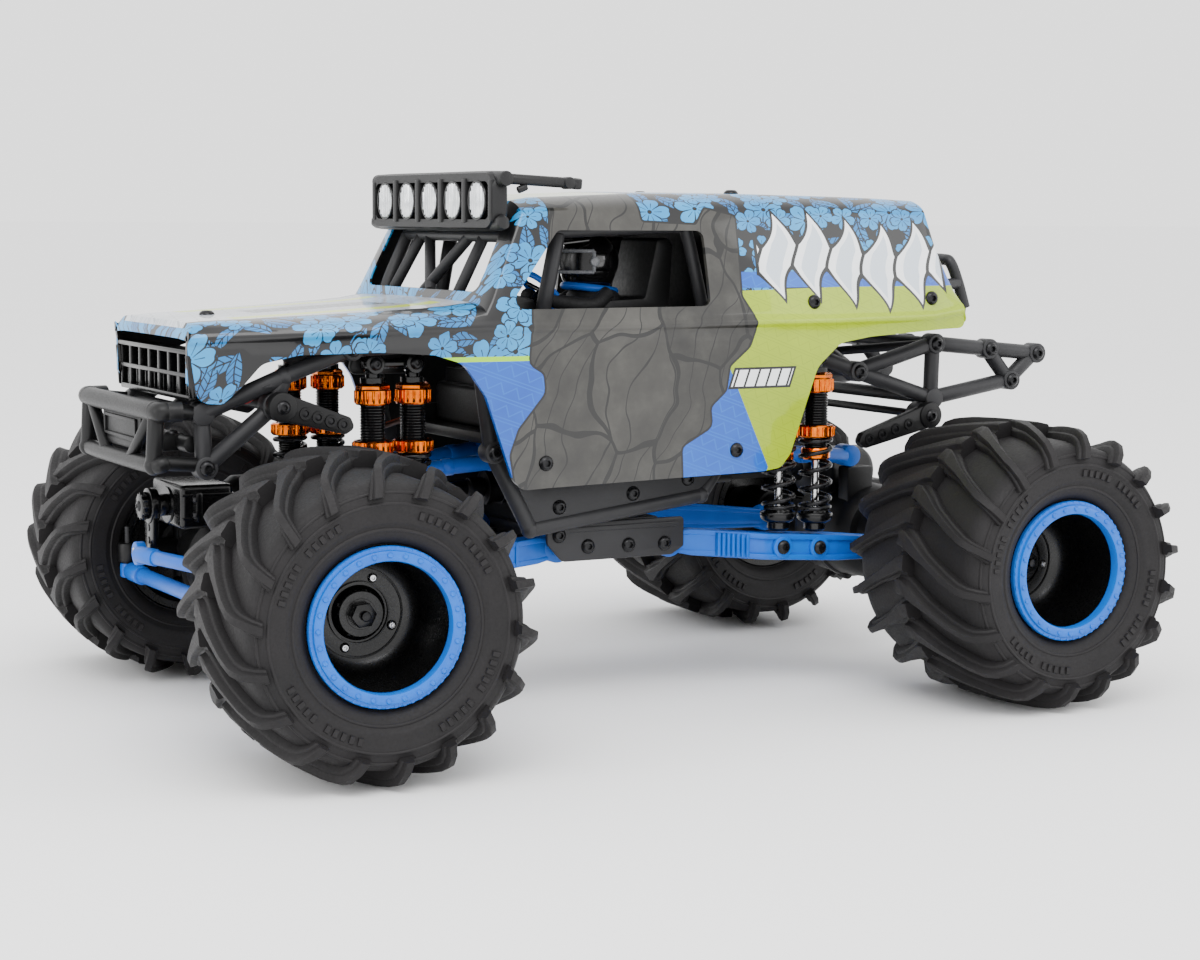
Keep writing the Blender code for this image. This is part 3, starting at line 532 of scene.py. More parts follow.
# ================= camera, light, floor =================
def set_stage():
    cam = bpy.data.cameras.new("camera")
    cam.sensor_width = 36.0
    cam.lens = 71.19
    cam.clip_start, cam.clip_end = 0.01, 50
    co = bpy.data.objects.new("camera", cam)
    bpy.context.scene.collection.objects.link(co)
    right, up, fwd = Vector((-0.8795364, 0.47579818, 0.00563975)), Vector((-0.04738817, -0.09938054, 0.99392045)), Vector((-0.47346602, -0.87392197, -0.10995601))
    rot = Matrix((right, up, -fwd)).transposed().to_4x4()
    co.matrix_world = Matrix.Translation(V((292.15039, 552.13031, 123.04057))) @ rot
    bpy.context.scene.camera = co

    world = bpy.data.worlds.new("studio")
    bpy.context.scene.world = world
    world.use_nodes = True
    wn = world.node_tree
    bg = wn.nodes["Background"]
    bg.inputs["Color"].default_value = (1, 1, 1, 1)
    bg.inputs["Strength"].default_value = WORLD

    def area(name, at, look, size, power, size_y=None, colour=(1, 1, 1)):
        li = bpy.data.lights.new(name, "AREA")
        li.energy = power
        li.color = colour
        li.shape = "RECTANGLE"
        li.size, li.size_y = size, size_y or size
        ob = bpy.data.objects.new(name, li)
        bpy.context.scene.collection.objects.link(ob)
        ob.location = Vector(at)
        ob.rotation_euler = (Vector(look) - Vector(at)).to_track_quat("-Z", "Y").to_euler()
        ob.visible_camera = False
        return ob
    for args in LIGHTS:
        area(*args)

    floor = bpy.data.meshes.new("floor")
    floor.from_pydata([(-40, -40, 0), (40, -40, 0), (40, 40, 0), (-40, 40, 0)], [], [[0, 1, 2, 3]])
    fo = bpy.data.objects.new("floor", floor)
    bpy.context.scene.collection.objects.link(fo)
    m, nt, b = nodes_of("floor_white")
    n = noise(nt, 3.0)
    col = ramp(nt, n.outputs["Fac"], [(0.3, (0.955, 0.955, 0.958, 1)), (0.7, (0.965, 0.965, 0.968, 1))])
    nt.links.new(col.outputs["Color"], b.inputs["Base Color"])
    b.inputs["Roughness"].default_value = 0.9
    b.inputs["Specular IOR Level"].default_value = 0.0
    floor.materials.append(m)


WORLD = 2.0
LIGHTS = [
    ("key", (0.25, 0.6, 0.85), (0, 0, 0.05), 0.8, 8.0, 0.5),
    ("left", (-0.85, 0.75, 0.4), (0, 0, 0.06), 0.5, 2.0, 0.5),
    ("front", (1.0, 0.05, 0.35), (0, 0, 0.06), 0.35, 2.5, 0.5),
]
set_stage()
# ================= wheels =================
def wheel_frame(centre, out):
    """Local frame of a wheel: Y along the axle to the outside, Z up."""
    y = Vector(out).normalized()
    z = Vector((0, 0, 1))
    x = y.cross(z).normalized()
    c = V(centre)
    return Matrix(((x.x, y.x, z.x, c.x), (x.y, y.y, z.y, c.y), (x.z, y.z, z.z, c.z), (0, 0, 0, 1)))


# carcass outline: (axial, radius) from the outer bead over the crown to the inner bead
CARC = [(21.1, 17.8), (22.3, 18.6), (23.6, 20.6), (24.8, 23.6), (25.35, 26.4), (25.2, 28.6), (24.3, 30.2), (22.4, 31.2), (18.0, 31.75), (9.0, 32.1), (0.0, 32.2)]
CARC = CARC + [(-a, r) for a, r in CARC[-2::-1]]
BAND = [(a, r) for a, r in CARC]


def carcass_r(a):
    """Carcass radius at an axial place on the tread band, and the axial place itself on the shoulder."""
    pts = [(p[0], p[1]) for p in CARC if p[1] >= 30.0]
    pts.sort()
    return float(np.interp(a, [p[0] for p in pts], [p[1] for p in pts]))


def shoulder(s, h):
    """A point on the tread at arc length s from the middle, h above the carcass: (axial, radius)."""
    sign = 1 if s >= 0 else -1
    path = [(0.0, 32.2), (9.0, 32.1), (17.5, 31.8), (21.6, 31.3), (23.9, 30.2), (25.1, 28.4), (25.3, 26.6)]
    arc = [0.0]
    for p, q in zip(path, path[1:]):
        arc.append(arc[-1] + math.hypot(q[0] - p[0], q[1] - p[1]))
    t = min(abs(s), arc[-1])
    a = float(np.interp(t, arc, [p[0] for p in path]))
    r = float(np.interp(t, arc, [p[1] for p in path]))
    e = 0.4
    a1, r1 = float(np.interp(min(t + e, arc[-1]), arc, [p[0] for p in path])), float(np.interp(min(t + e, arc[-1]), arc, [p[1] for p in path]))
    a0, r0 = float(np.interp(max(t - e, 0), arc, [p[0] for p in path])), float(np.interp(max(t - e, 0), arc, [p[1] for p in path]))
    da, dr = a1 - a0, r1 - r0
    ln = math.hypot(da, dr) or 1
    nx, nr = -dr / ln, da / ln
    return sign * (a + nx * h), r + nr * h


NLUG = 18


def lug(g, index, side, mat=0):
    """One V arm of the tread: wide and blunt at the middle, running out to a round end on the shoulder, in two tiers."""
    pitch = 2 * math.pi / NLUG
    t0 = index * pitch + (0.0 if side > 0 else pitch * 0.5)
    s0, s1 = -1.6, 26.6
    steps = 15
    sweep = math.radians(25)
    rings = []
    for k in range(steps + 1):
        q = k / steps
        s = s0 + (s1 - s0) * q
        # half width narrows from the blunt middle to the shoulder club
        if q < 0.16:
            w = 3.3 - 0.2 * q
        elif q < 0.4:
            w = 3.27 - (q - 0.16) * 5.6
        elif q < 0.85:
            w = 1.93 - (q - 0.4) * 0.75
        else:
            w = 1.6 + (q - 0.85) * 3.0
        top = 3.75 if q < 0.86 else 3.75 - (q - 0.86) * 5.0
        if s > 23.0:
            top = min(top, 3.3)
        off = (max(s, 0) * math.tan(sweep)) if s > 0 else 0.0
        if q < 0.2:
            off += 0.5 * (0.2 - q) * 0
        rings.append((s, w, top, off, q))
    prof = [(-1.0, -0.8), (-1.0, 0.42), (-0.88, 0.52), (-0.66, 0.56), (-0.60, 0.66), (-0.56, 0.93), (-0.46, 1.0), (0.46, 1.0), (0.56, 0.93), (0.60, 0.66), (0.66, 0.56), (0.88, 0.52), (1.0, 0.42), (1.0, -0.8)]
    pts = []
    n = len(prof)
    for s, w, top, off, q in rings:
        for u, h in prof:
            hh = h * top if h > 0 else h * 0.6
            a, r = shoulder(s, hh)
            if s < 0:
                a, r = s * 1.0, 32.2 + hh
            a = a * side if side > 0 else -a
            ang = t0 + (off + u * w * (1.0 if h <= 0.56 else 1.0)) / 33.5
            pts.append((r * math.sin(ang), a, r * math.cos(ang)))
    faces = []
    for i in range(steps):
        for k in range(n):
            k2 = (k + 1) % n
            f = [i * n + k, i * n + k2, (i + 1) * n + k2, (i + 1) * n + k]
            faces.append(f if side > 0 else f[::-1])
    a0 = list(range(n))
    a1 = [steps * n + k for k in range(n)]
    faces.append(a0[::-1] if side > 0 else a0)
    faces.append(a1 if side > 0 else a1[::-1])
    g.put(pts, faces, mat)


def tyre_geo():
    g = Geo()
    n = 144
    # closed rubber body: outside, beads, and the inside
    prof = [(21.1, 17.8), (22.4, 18.4), (23.3, 19.3), (23.9, 20.6), (24.3, 22.0), (24.75, 22.5), (24.95, 23.0), (25.0, 23.6), (25.15, 24.4), (25.3, 25.4), (25.42, 26.0), (25.45, 26.6), (25.35, 27.2), (25.2, 28.4), (24.3, 30.0), (22.6, 31.1), (20.0, 31.55), (15.0, 31.9), (9.0, 32.1), (0.0, 32.2)]
    prof = prof + [(-a, r) for a, r in prof[-2::-1]]
    inner = [(-21.1, 17.62), (-10, 17.75), (10, 17.75), (21.1, 17.62)]
    lathe(g, (0, 0, 0), (0, 1, 0), prof + inner, n, 0, closed=True)
    # two thin raised rings on each wall
    for sgn in (1, -1):
        for r0, a0 in ((29.2, 24.75), (26.9, 25.35), (21.2, 24.05)):
            rings = [(a0 - 0.5, r0 + 0.45), (a0 + 0.12, r0 + 0.34), (a0 + 0.28, r0 + 0.12), (a0 + 0.28, r0 - 0.12), (a0 + 0.12, r0 - 0.34), (a0 - 0.5, r0 - 0.45)]
            if sgn < 0:
                rings = [(-a, r) for a, r in rings][::-1]
            lathe(g, (0, 0, 0), (0, 1, 0), rings, n, 1, closed=True)
    # plain raised bars between the rings in place of moulded lettering
    for sgn in (1, -1):
        for k in range(4):
            c = math.radians(45 + 90 * k)
            for j in range(-5, 6):
                if abs(j) == 0:
                    continue
                a = c + math.radians(4.6 * j)
                half = math.radians(1.35)
                for rr0, rr1 in ((23.9, 25.7),):
                    outl = []
                    for aa, r in ((a - half, rr0), (a + half, rr0), (a + half, rr1), (a - half, rr1)):
                        outl.append((r * math.sin(aa), r * math.cos(aa)))
                    pts, faces = [], []
                    for w, sc in ((24.6, 0.0), (25.42, 0.0), (25.62, 0.12)):
                        cx = sum(p[0] for p in outl) / 4
                        cz = sum(p[1] for p in outl) / 4
                        for x, z in outl:
                            pts.append((x + (cx - x) * sc, sgn * w, z + (cz - z) * sc))
                    for i in range(2):
                        for q in range(4):
                            f = [i * 4 + q, i * 4 + (q + 1) % 4, (i + 1) * 4 + (q + 1) % 4, (i + 1) * 4 + q]
                            faces.append(f[::-1] if sgn < 0 else f)
                    top = [8, 9, 10, 11]
                    bot = [3, 2, 1, 0]
                    faces.append(top[::-1] if sgn < 0 else top)
                    faces.append(bot[::-1] if sgn < 0 else bot)
                    g.put(pts, faces, 1)
    for k in range(NLUG):
        for side in (1, -1):
            lug(g, k, side)
    return g


def rim_geo():
    g = Geo()
    n = 96
    # barrel, lip and deep dish, then the hub
    prof = [(21.2, 17.45), (21.5, 17.2), (21.5, 15.6), (21.2, 15.2), (19.6, 14.9), (12.0, 14.3), (6.0, 13.6), (4.0, 12.6), (2.6, 10.6), (2.2, 8.0), (2.1, 6.2), (2.9, 5.6), (4.0, 5.3), (4.3, 5.0), (4.3, 3.0), (3.7, 2.7), (3.7, 0.0)]
    back = [(-3.0, 0.0), (-3.0, 12.2), (-5.0, 14.4), (-20.4, 15.0), (-21.0, 15.4), (-21.0, 17.2), (-20.6, 17.45)]
    lathe(g, (0, 0, 0), (0, 1, 0), prof, n, 0)
    lathe(g, (0, 0, 0), (0, 1, 0), back + [(21.2, 17.45)], n, 0)
    for r0, r1 in ((9.6, 10.2), (6.6, 7.1)):
        lathe(g, (0, 0, 0), (0, 1, 0), [(2.0, r0), (2.75, r0 + 0.1), (2.75, r1 - 0.1), (2.0, r1)], 64, 0, closed=True)
    return g


def hub_geo():
    g = Geo()
    # wheel nut on the axle end, and four small screws round it
    lathe(g, (0, 3.6, 0), (0, 1, 0), [(0, 0), (0, 3.5), (0.5, 3.6), (0.8, 3.4), (0.8, 0)], 32, 0)
    hexnut(g, (0, 4.2, 0), (0, 1, 0), 2.9, 2.6, 0)
    cyl(g, (0, 6.4, 0), (0, 8.6, 0), 1.15, 18, 1)
    for k in range(4):
        a = math.pi / 2 * k + 0.5
        button_screw(g, (8.3 * math.cos(a), 2.15, 8.3 * math.sin(a)), (0, 1, 0), 1.15, 0.9, 2)
    return g


def ring_geo():
    g = Geo()
    n = 120
    prof = [(21.62, 17.5), (22.9, 17.62), (23.25, 17.4), (23.35, 17.05), (23.35, 16.75), (24.0, 16.55), (24.2, 16.2), (24.2, 15.0), (24.0, 14.5), (23.4, 14.25), (21.62, 14.3)]
    lathe(g, (0, 0, 0), (0, 1, 0), prof, n, 0, closed=True)
    for k in range(28):
        a = 2 * math.pi * (k + 0.5) / 28
        c = (15.72 * math.cos(a), 24.1, 15.72 * math.sin(a))
        lathe(g, c, (0, 1, 0), [(-0.2, 0), (-0.2, 0.62), (0.28, 0.62), (0.5, 0.44), (0.56, 0)], 12, 0)
    # small notches stand on the step as raised teeth
    for k in range(56):
        a = 2 * math.pi * k / 56
        u = np.array((math.cos(a), 0, math.sin(a)))
        t = np.array((-math.sin(a), 0, math.cos(a)))
        def place(p, q, w, u=u, t=t):
            return tuple(u * (16.55 + w) + t * p + np.array((0, 22.95 + q, 0)))
        pts = []
        for w in (0, 0.95):
            for p, q in ((-0.42, 0), (0.42, 0), (0.36, 0.45), (-0.36, 0.45)):
                pts.append(place(p, q, w))
        g.put(pts, [[0, 1, 2, 3], [7, 6, 5, 4], [0, 4, 5, 1], [1, 5, 6, 2], [2, 6, 7, 3], [3, 7, 4, 0]], 0)
    return g


OUT_L = (0.0906, 0.9959, 0.0)
WHEELS = {
    "fl": ((92.14, 69.43, 36.0), OUT_L, 0.10),
    "fr": ((88.86, -69.43, 36.0), (-OUT_L[0], -OUT_L[1], 0.0), 0.22),
    "rl": ((-90.5, 69.5, 36.0), (0.0, 1.0, 0.0), 0.31),
    "rr": ((-90.5, -69.5, 36.0), (0.0, -1.0, 0.0), 0.05),
}
TYRE, RIM, HUB, RING = tyre_geo(), rim_geo(), hub_geo(), ring_geo()


for tag, (centre, out, turn) in WHEELS.items():
    fr_m = wheel_frame(centre, out)
    spin = Matrix.Rotation(turn, 4, "Y")
    flip = 1.0
    # the V should point forward on the top of every wheel, but every wheel uses the same tread; the far side gets no
    # mirrored copy
    t = TYRE
    body = "wheel_" + tag
    make("vis_tyre_" + tag, t, ["rubber", "rubber_side"], body, ["tyre_" + tag], local=fr_m @ spin, angle=42)
    make("vis_rim_" + tag, RIM, ["rim_black"], body, ["rim_" + tag], local=fr_m @ spin)
    make("vis_hub_" + tag, HUB, ["nylon_gloss", "steel_dark", "steel"], body, [], local=fr_m @ spin)
    make("vis_ring_" + tag, RING, ["blue_ring"], body, ["ring_" + tag], local=fr_m @ spin, angle=30)
# ================= body shell =================
#            x      z low  half low  z belt  half belt  z top  half top  z crown
STATIONS = [
    (-96.0, 94.4, 40.0, 97.0, 40.0, 99.0, 36.0, 99.6),
    (-95.2, 94.4, 40.4, 99.0, 40.4, 102.5, 37.0, 103.2),
    (-88.0, 94.0, 40.6, 98.0, 41.0, 117.0, 36.6, 118.4),
    (-85.0, 93.8, 40.8, 97.6, 41.4, 126.4, 35.6, 128.4),
    (-72.0, 93.0, 41.0, 97.3, 41.8, 126.8, 35.8, 129.0),
    (-64.0, 92.4, 41.2, 97.2, 42.1, 127.0, 36.0, 129.2),
    (-53.0, 90.6, 41.4, 97.0, 42.4, 127.2, 36.0, 129.4),
    (-46.0, 83.8, 41.8, 97.0, 42.8, 127.3, 36.0, 129.5),
    (-39.0, 61.6, 42.2, 97.0, 43.0, 127.4, 36.0, 129.6),
    (-34.0, 59.0, 42.4, 97.0, 43.2, 127.5, 36.0, 129.7),
    (0.0, 58.2, 42.6, 96.8, 43.4, 127.3, 36.2, 129.7),
    (30.0, 57.5, 42.4, 96.6, 43.4, 126.2, 36.8, 128.3),
    (35.0, 57.4, 42.2, 96.6, 43.3, 125.6, 37.0, 127.4),
    (38.5, 57.8, 42.0, 96.8, 43.2, 118.8, 38.6, 120.2),
    (46.6, 79.4, 41.8, 97.0, 42.8, 101.4, 41.6, 103.0),
    (53.2, 88.8, 41.6, 96.8, 42.2, 100.6, 40.2, 102.0),
    (60.0, 90.4, 41.4, 96.6, 41.8, 100.2, 39.0, 101.4),
    (74.0, 91.2, 40.8, 96.2, 40.9, 99.6, 36.4, 100.6),
    (92.5, 90.8, 38.0, 95.6, 37.6, 99.0, 32.2, 99.6),
    (100.3, 88.8, 34.6, 95.2, 34.2, 98.8, 29.6, 99.2),
    (107.9, 79.8, 30.6, 94.9, 30.8, 98.7, 27.4, 98.9),
    (112.6, 79.9, 28.8, 94.6, 29.0, 98.5, 26.4, 98.6),
    (114.6, 90.6, 27.8, 94.4, 28.2, 98.3, 26.0, 98.4),
    (116.0, 92.3, 27.0, 94.2, 27.4, 95.6, 25.8, 95.8),
]
ST = np.array(STATIONS)


def station(x):
    return [float(np.interp(x, ST[:, 0], ST[:, k])) for k in range(1, 8)]


def section(x, lift=0.0, low=None):
    """Half outline of the shell at x, from the side's foot over the belt and roof edge to the middle: (y, z) points."""
    zl, yl, zb, yb, zt, yt, zc = station(x)
    z0 = zl if low is None else low
    yl0 = yl if low is None else yl - max(0.0, (zl - low)) * 0.004
    bulge = 0.55
    pts = []
    # door side, gently out to the belt
    lo = 14
    for k in range(lo):
        t = k / lo
        z = z0 + (zb - 1.4 - z0) * t
        y = yl0 + (yb - yl0) * t
        pts.append((y, z))
    # rounded belt moulding
    for k in range(9):
        t = k / 8
        z = zb - 1.4 + 2.8 * t
        pts.append((yb + bulge * math.sin(math.pi * t) - 0.12 * t, z))
    # upper side leaning in to the roof edge
    z1 = zb + 1.4
    rr = min(2.6, (zt - z1) * 0.4 + 0.4)
    ye = yt
    hi = 16
    ym = yb - 0.12
    for k in range(1, hi + 1):
        t = k / hi
        z = z1 + (zt - rr - z1) * t
        y = ym + (ye - ym) * (z - z1) / max(zt - z1, 0.5) + 0.35 * math.sin(math.pi * t) * (1 if zt - zb > 12 else 0)
        pts.append((y, z))
    # rounded roof edge
    y_a, z_a = pts[-1]
    y_c, z_c = yt - min(6.0, yt * 0.3), zt * 0.25 + zc * 0.75
    cx, cz = ye + 0.05, zt
    for k in range(1, 9):
        t = k / 8
        b0, b1, b2 = (1 - t) ** 2, 2 * t * (1 - t), t * t
        pts.append((b0 * y_a + b1 * cx + b2 * y_c, b0 * z_a + b1 * cz + b2 * z_c))
    for k in range(1, 15):
        t = k / 14
        y = y_c * (1 - t)
        pts.append((y, z_c + (zc - z_c) * (1 - (1 - t) ** 2)))
    return pts


# side outline of the moulding, in (x, z): it's cut from the full-depth skin
SIDE = [(-94.6, 94.3), (-88, 94.1), (-64.2, 92.6), (-54.8, 91.2), (-47.6, 85.2), (-39.6, 63.0), (-36.6, 59.6), (-31.0, 58.9), (0, 58.3),
        (30, 57.6), (37.0, 57.3), (39.6, 59.8), (47.0, 80.4), (52.6, 88.2), (60, 90.5), (74, 91.4), (92.5, 91.0), (100.3, 89.0), (104.6, 83.6), (108.6, 79.6), (112.8, 79.8), (118.4, 88.0), (119.0, 140), (-99, 140), (-99, 100.0)]
CORNER = [2.2, 0, 2, 6, 7, 4, 3.4, 1, 0, 0, 2.6, 4, 7, 6, 2, 0, 4, 4, 4, 2, 3, 0, 0, 0, 0]


def shell_x():
    xs = set()
    x = -96.0
    for a, b in zip(ST[:, 0], ST[1:, 0]):
        n = max(1, int(math.ceil((b - a) / 2.2)))
        for k in range(n):
            xs.add(round(float(a + (b - a) * k / n), 4))
    xs.add(116.0)
    return sorted(xs)


def skin(offset, xs, low=52.0):
    rows = []
    for x in xs:
        half = section(x, low=min(low, station(x)[0]) if x < 104 else min(76.0, station(x)[0]))
        ring = [(x, y, z) for y, z in half] + [(x, -y, z) for y, z in half[-2::-1]]
        rows.append(ring)
    g = np.array(rows)
    if offset:
        # pushed along the normal of each cross-section, so that neighbouring sections never cross
        t = np.gradient(g[:, :, 1:], axis=1)
        n = np.stack([t[:, :, 1], -t[:, :, 0]], axis=2)
        n /= np.maximum(np.linalg.norm(n, axis=2, keepdims=True), 1e-9)
        g = g.copy()
        g[:, :, 1:] += n * offset
        g[:, 0, 2] = g[:, -1, 2] = np.array(rows)[:, 0, 2]
    return g


def closed_skin(outer, inner):
    rn, cn = outer.shape[:2]
    pts = list(outer.reshape(-1, 3)) + list(inner.reshape(-1, 3))
    base = rn * cn
    faces = []
    for i in range(rn - 1):
        for j in range(cn - 1):
            q = i * cn + j
            faces.append([q, q + cn, q + cn + 1, q + 1])
            faces.append([base + q, base + q + 1, base + q + cn + 1, base + q + cn])
    edge = [(i, 0) for i in range(rn)] + [(rn - 1, j) for j in range(1, cn)]
    edge += [(i, cn - 1) for i in range(rn - 2, -1, -1)] + [(0, j) for j in range(cn - 2, 0, -1)]
    for (i, j), (k, m) in zip(edge, edge[1:] + edge[:1]):
        a, b = i * cn + j, k * cn + m
        faces.append([a, b, base + b, base + a])
    return pts, faces


def raw_mesh(pts, faces):
    me = bpy.data.meshes.new("raw")
    me.from_pydata([tuple(V(p)) for p in pts], [], faces)
    me.validate()
    bm = bmesh.new()
    bm.from_mesh(me)
    bmesh.ops.remove_doubles(bm, verts=bm.verts, dist=1e-7)
    bmesh.ops.recalc_face_normals(bm, faces=bm.faces)
    if bm.calc_volume(signed=True) < 0:
        bmesh.ops.reverse_faces(bm, faces=bm.faces)
    bm.to_mesh(me)
    bm.free()
    return me


def extruded(outline, place, w0, w1):
    """A closed prism for cutting: place(u, v, w)."""
    n = len(outline)
    pts = [place(u, v, w0) for u, v in outline] + [place(u, v, w1) for u, v in outline]
    faces = [list(range(n))[::-1], [n + i for i in range(n)]]
    faces += [[i, (i + 1) % n, n + (i + 1) % n, n + i] for i in range(n)]
    return pts, faces


def cut(obj, pts, faces, op="DIFFERENCE"):
    other = bpy.data.objects.new("cutter", raw_mesh(pts, faces))
    bpy.context.scene.collection.objects.link(other)
    m = obj.modifiers.new("b", "BOOLEAN")
    m.operation, m.solver, m.object = op, "EXACT", other
    bpy.context.view_layer.update()
    res = bpy.data.meshes.new_from_object(obj.evaluated_get(bpy.context.evaluated_depsgraph_get()))
    obj.modifiers.clear()
    old = obj.data
    obj.data = res
    bpy.data.meshes.remove(old)
    bpy.data.objects.remove(other, do_unlink=True)


XS = shell_x()
T = 1.15
side_xz = lambda u, v, w: (u, w, v)
WINDOW = round_poly([(25.9, 119.9), (41.6, 101.0), (-15.2, 101.2), (-15.2, 119.9)], [2.2, 2.2, 2.0, 2.0], 4)


def paint_material(name, layers):
    """Painted shell under clear coat. layers(nt, x, z, y) gives a colour socket; coordinates are in mm of the truck's frame."""
    m, nt, b = nodes_of(name)
    vec = coords(nt)
    sep = nt.nodes.new("ShaderNodeSeparateXYZ")
    nt.links.new(vec, sep.inputs[0])
    x = math_node(nt, "SUBTRACT", math_node(nt, "MULTIPLY", sep.outputs[0], 1000.0), SX)
    y = math_node(nt, "MULTIPLY", sep.outputs[1], 1000.0)
    z = math_node(nt, "MULTIPLY", sep.outputs[2], 1000.0)
    col = layers(nt, x, y, z, vec)
    nt.links.new(col, b.inputs["Base Color"])
    fine = noise(nt, 1400.0, 2.0, 0.6, vec)
    rr = ramp(nt, fine.outputs["Fac"], [(0.3, (0.3,) * 3), (0.7, (0.38,) * 3)])
    nt.links.new(rr.outputs["Color"], b.inputs["Roughness"])
    b.inputs["Coat Weight"].default_value = 0.45
    b.inputs["Coat Roughness"].default_value = 0.035
    b.inputs["Specular IOR Level"].default_value = 0.3
    slow = noise(nt, 26.0, 1.0, 0.4, vec)
    bp = nt.nodes.new("ShaderNodeBump")
    bp.inputs["Strength"].default_value = 0.25
    bp.inputs["Distance"].default_value = 0.0006
    nt.links.new(slow.outputs["Fac"], bp.inputs["Height"])
    nt.links.new(bp.outputs["Normal"], b.inputs["Coat Normal"])
    MATS[name] = m
    return m


def step(nt, value, edge, soft=0.12):
    """0 below edge, 1 above."""
    t = math_node(nt, "SUBTRACT", value, edge)
    return math_node(nt, "ADD", math_node(nt, "MULTIPLY", t, 1.0 / soft), 0.5, clamp=True)


def tone(nt, vec, a, b, scale=60):
    n = noise(nt, scale, 3.0, 0.55, vec)
    return ramp(nt, n.outputs["Fac"], [(0.35, a), (0.65, b)]).outputs["Color"]


LIME_A, LIME_B = srgb(206, 224, 0), srgb(216, 234, 8)
BLUE_A, BLUE_B = srgb(34, 112, 222), srgb(44, 126, 236)
SKY_A, SKY_B = srgb(72, 168, 224), srgb(96, 190, 238)


def mod_(nt, op, a, b=0.0, clamp=False):
    return math_node(nt, op, a, b, clamp)


def inside(nt, x, z, poly):
    """1 inside a closed outline in (x, z), by counting the edges that a ray crosses."""
    n = len(poly)
    above = [mod_(nt, "GREATER_THAN", z, p[1]) for p in poly]
    total = None
    for k in range(n):
        (x0, z0), (x1, z1) = poly[k], poly[(k + 1) % n]
        if abs(z1 - z0) < 1e-6:
            continue
        cross = mod_(nt, "ABSOLUTE", mod_(nt, "SUBTRACT", above[k], above[(k + 1) % n]))
        slope = (x1 - x0) / (z1 - z0)
        at = mod_(nt, "ADD", mod_(nt, "MULTIPLY", z, slope), x0 - z0 * slope)
        hit = mod_(nt, "MULTIPLY", cross, mod_(nt, "LESS_THAN", x, at))
        total = hit if total is None else mod_(nt, "ADD", total, hit)
    return mod_(nt, "FLOORED_MODULO", total, 2.0)


def band(nt, v, lo, hi):
    return mod_(nt, "MULTIPLY", mod_(nt, "GREATER_THAN", v, lo), mod_(nt, "LESS_THAN", v, hi))


def grown(poly, d):
    """The outline moved outwards by d."""
    area = sum(p[0] * q[1] - q[0] * p[1] for p, q in zip(poly, poly[1:] + poly[:1]))
    pts = [np.array(p, float) for p in (poly if area > 0 else poly[::-1])]
    out = []
    for i in range(len(pts)):
        e0, e1 = pts[i] - pts[i - 1], pts[(i + 1) % len(pts)] - pts[i]
        e0 /= max(np.linalg.norm(e0), 1e-9)
        e1 /= max(np.linalg.norm(e1), 1e-9)
        n0, n1 = np.array((e0[1], -e0[0])), np.array((e1[1], -e1[0]))
        m = n0 + n1
        out.append(tuple(pts[i] + m / max(float(np.dot(m, n0)), 0.4) * d))
    return out


def vor(nt, u, v, scale, rnd=0.75, seed=0.0, feature="F1"):
    """Cells in the unrolled surface: returns the texture and the point's place in its cell."""
    cx = mod_(nt, "ADD", mod_(nt, "MULTIPLY", u, scale), seed)
    cy = mod_(nt, "ADD", mod_(nt, "MULTIPLY", v, scale), seed * 0.37)
    comb = nt.nodes.new("ShaderNodeCombineXYZ")
    nt.links.new(cx, comb.inputs[0])
    nt.links.new(cy, comb.inputs[1])
    t = nt.nodes.new("ShaderNodeTexVoronoi")
    t.voronoi_dimensions = "2D"
    t.feature = feature
    t.inputs["Scale"].default_value = 1.0
    t.inputs["Randomness"].default_value = rnd
    nt.links.new(comb.outputs[0], t.inputs["Vector"])
    if feature != "F1":
        return t, None, None, None
    sp = nt.nodes.new("ShaderNodeSeparateXYZ")
    nt.links.new(t.outputs["Position"], sp.inputs[0])
    dx = mod_(nt, "SUBTRACT", cx, sp.outputs[0])
    dy = mod_(nt, "SUBTRACT", cy, sp.outputs[1])
    sc = nt.nodes.new("ShaderNodeSeparateColor")
    nt.links.new(t.outputs["Color"], sc.inputs[0])
    return t, dx, dy, sc


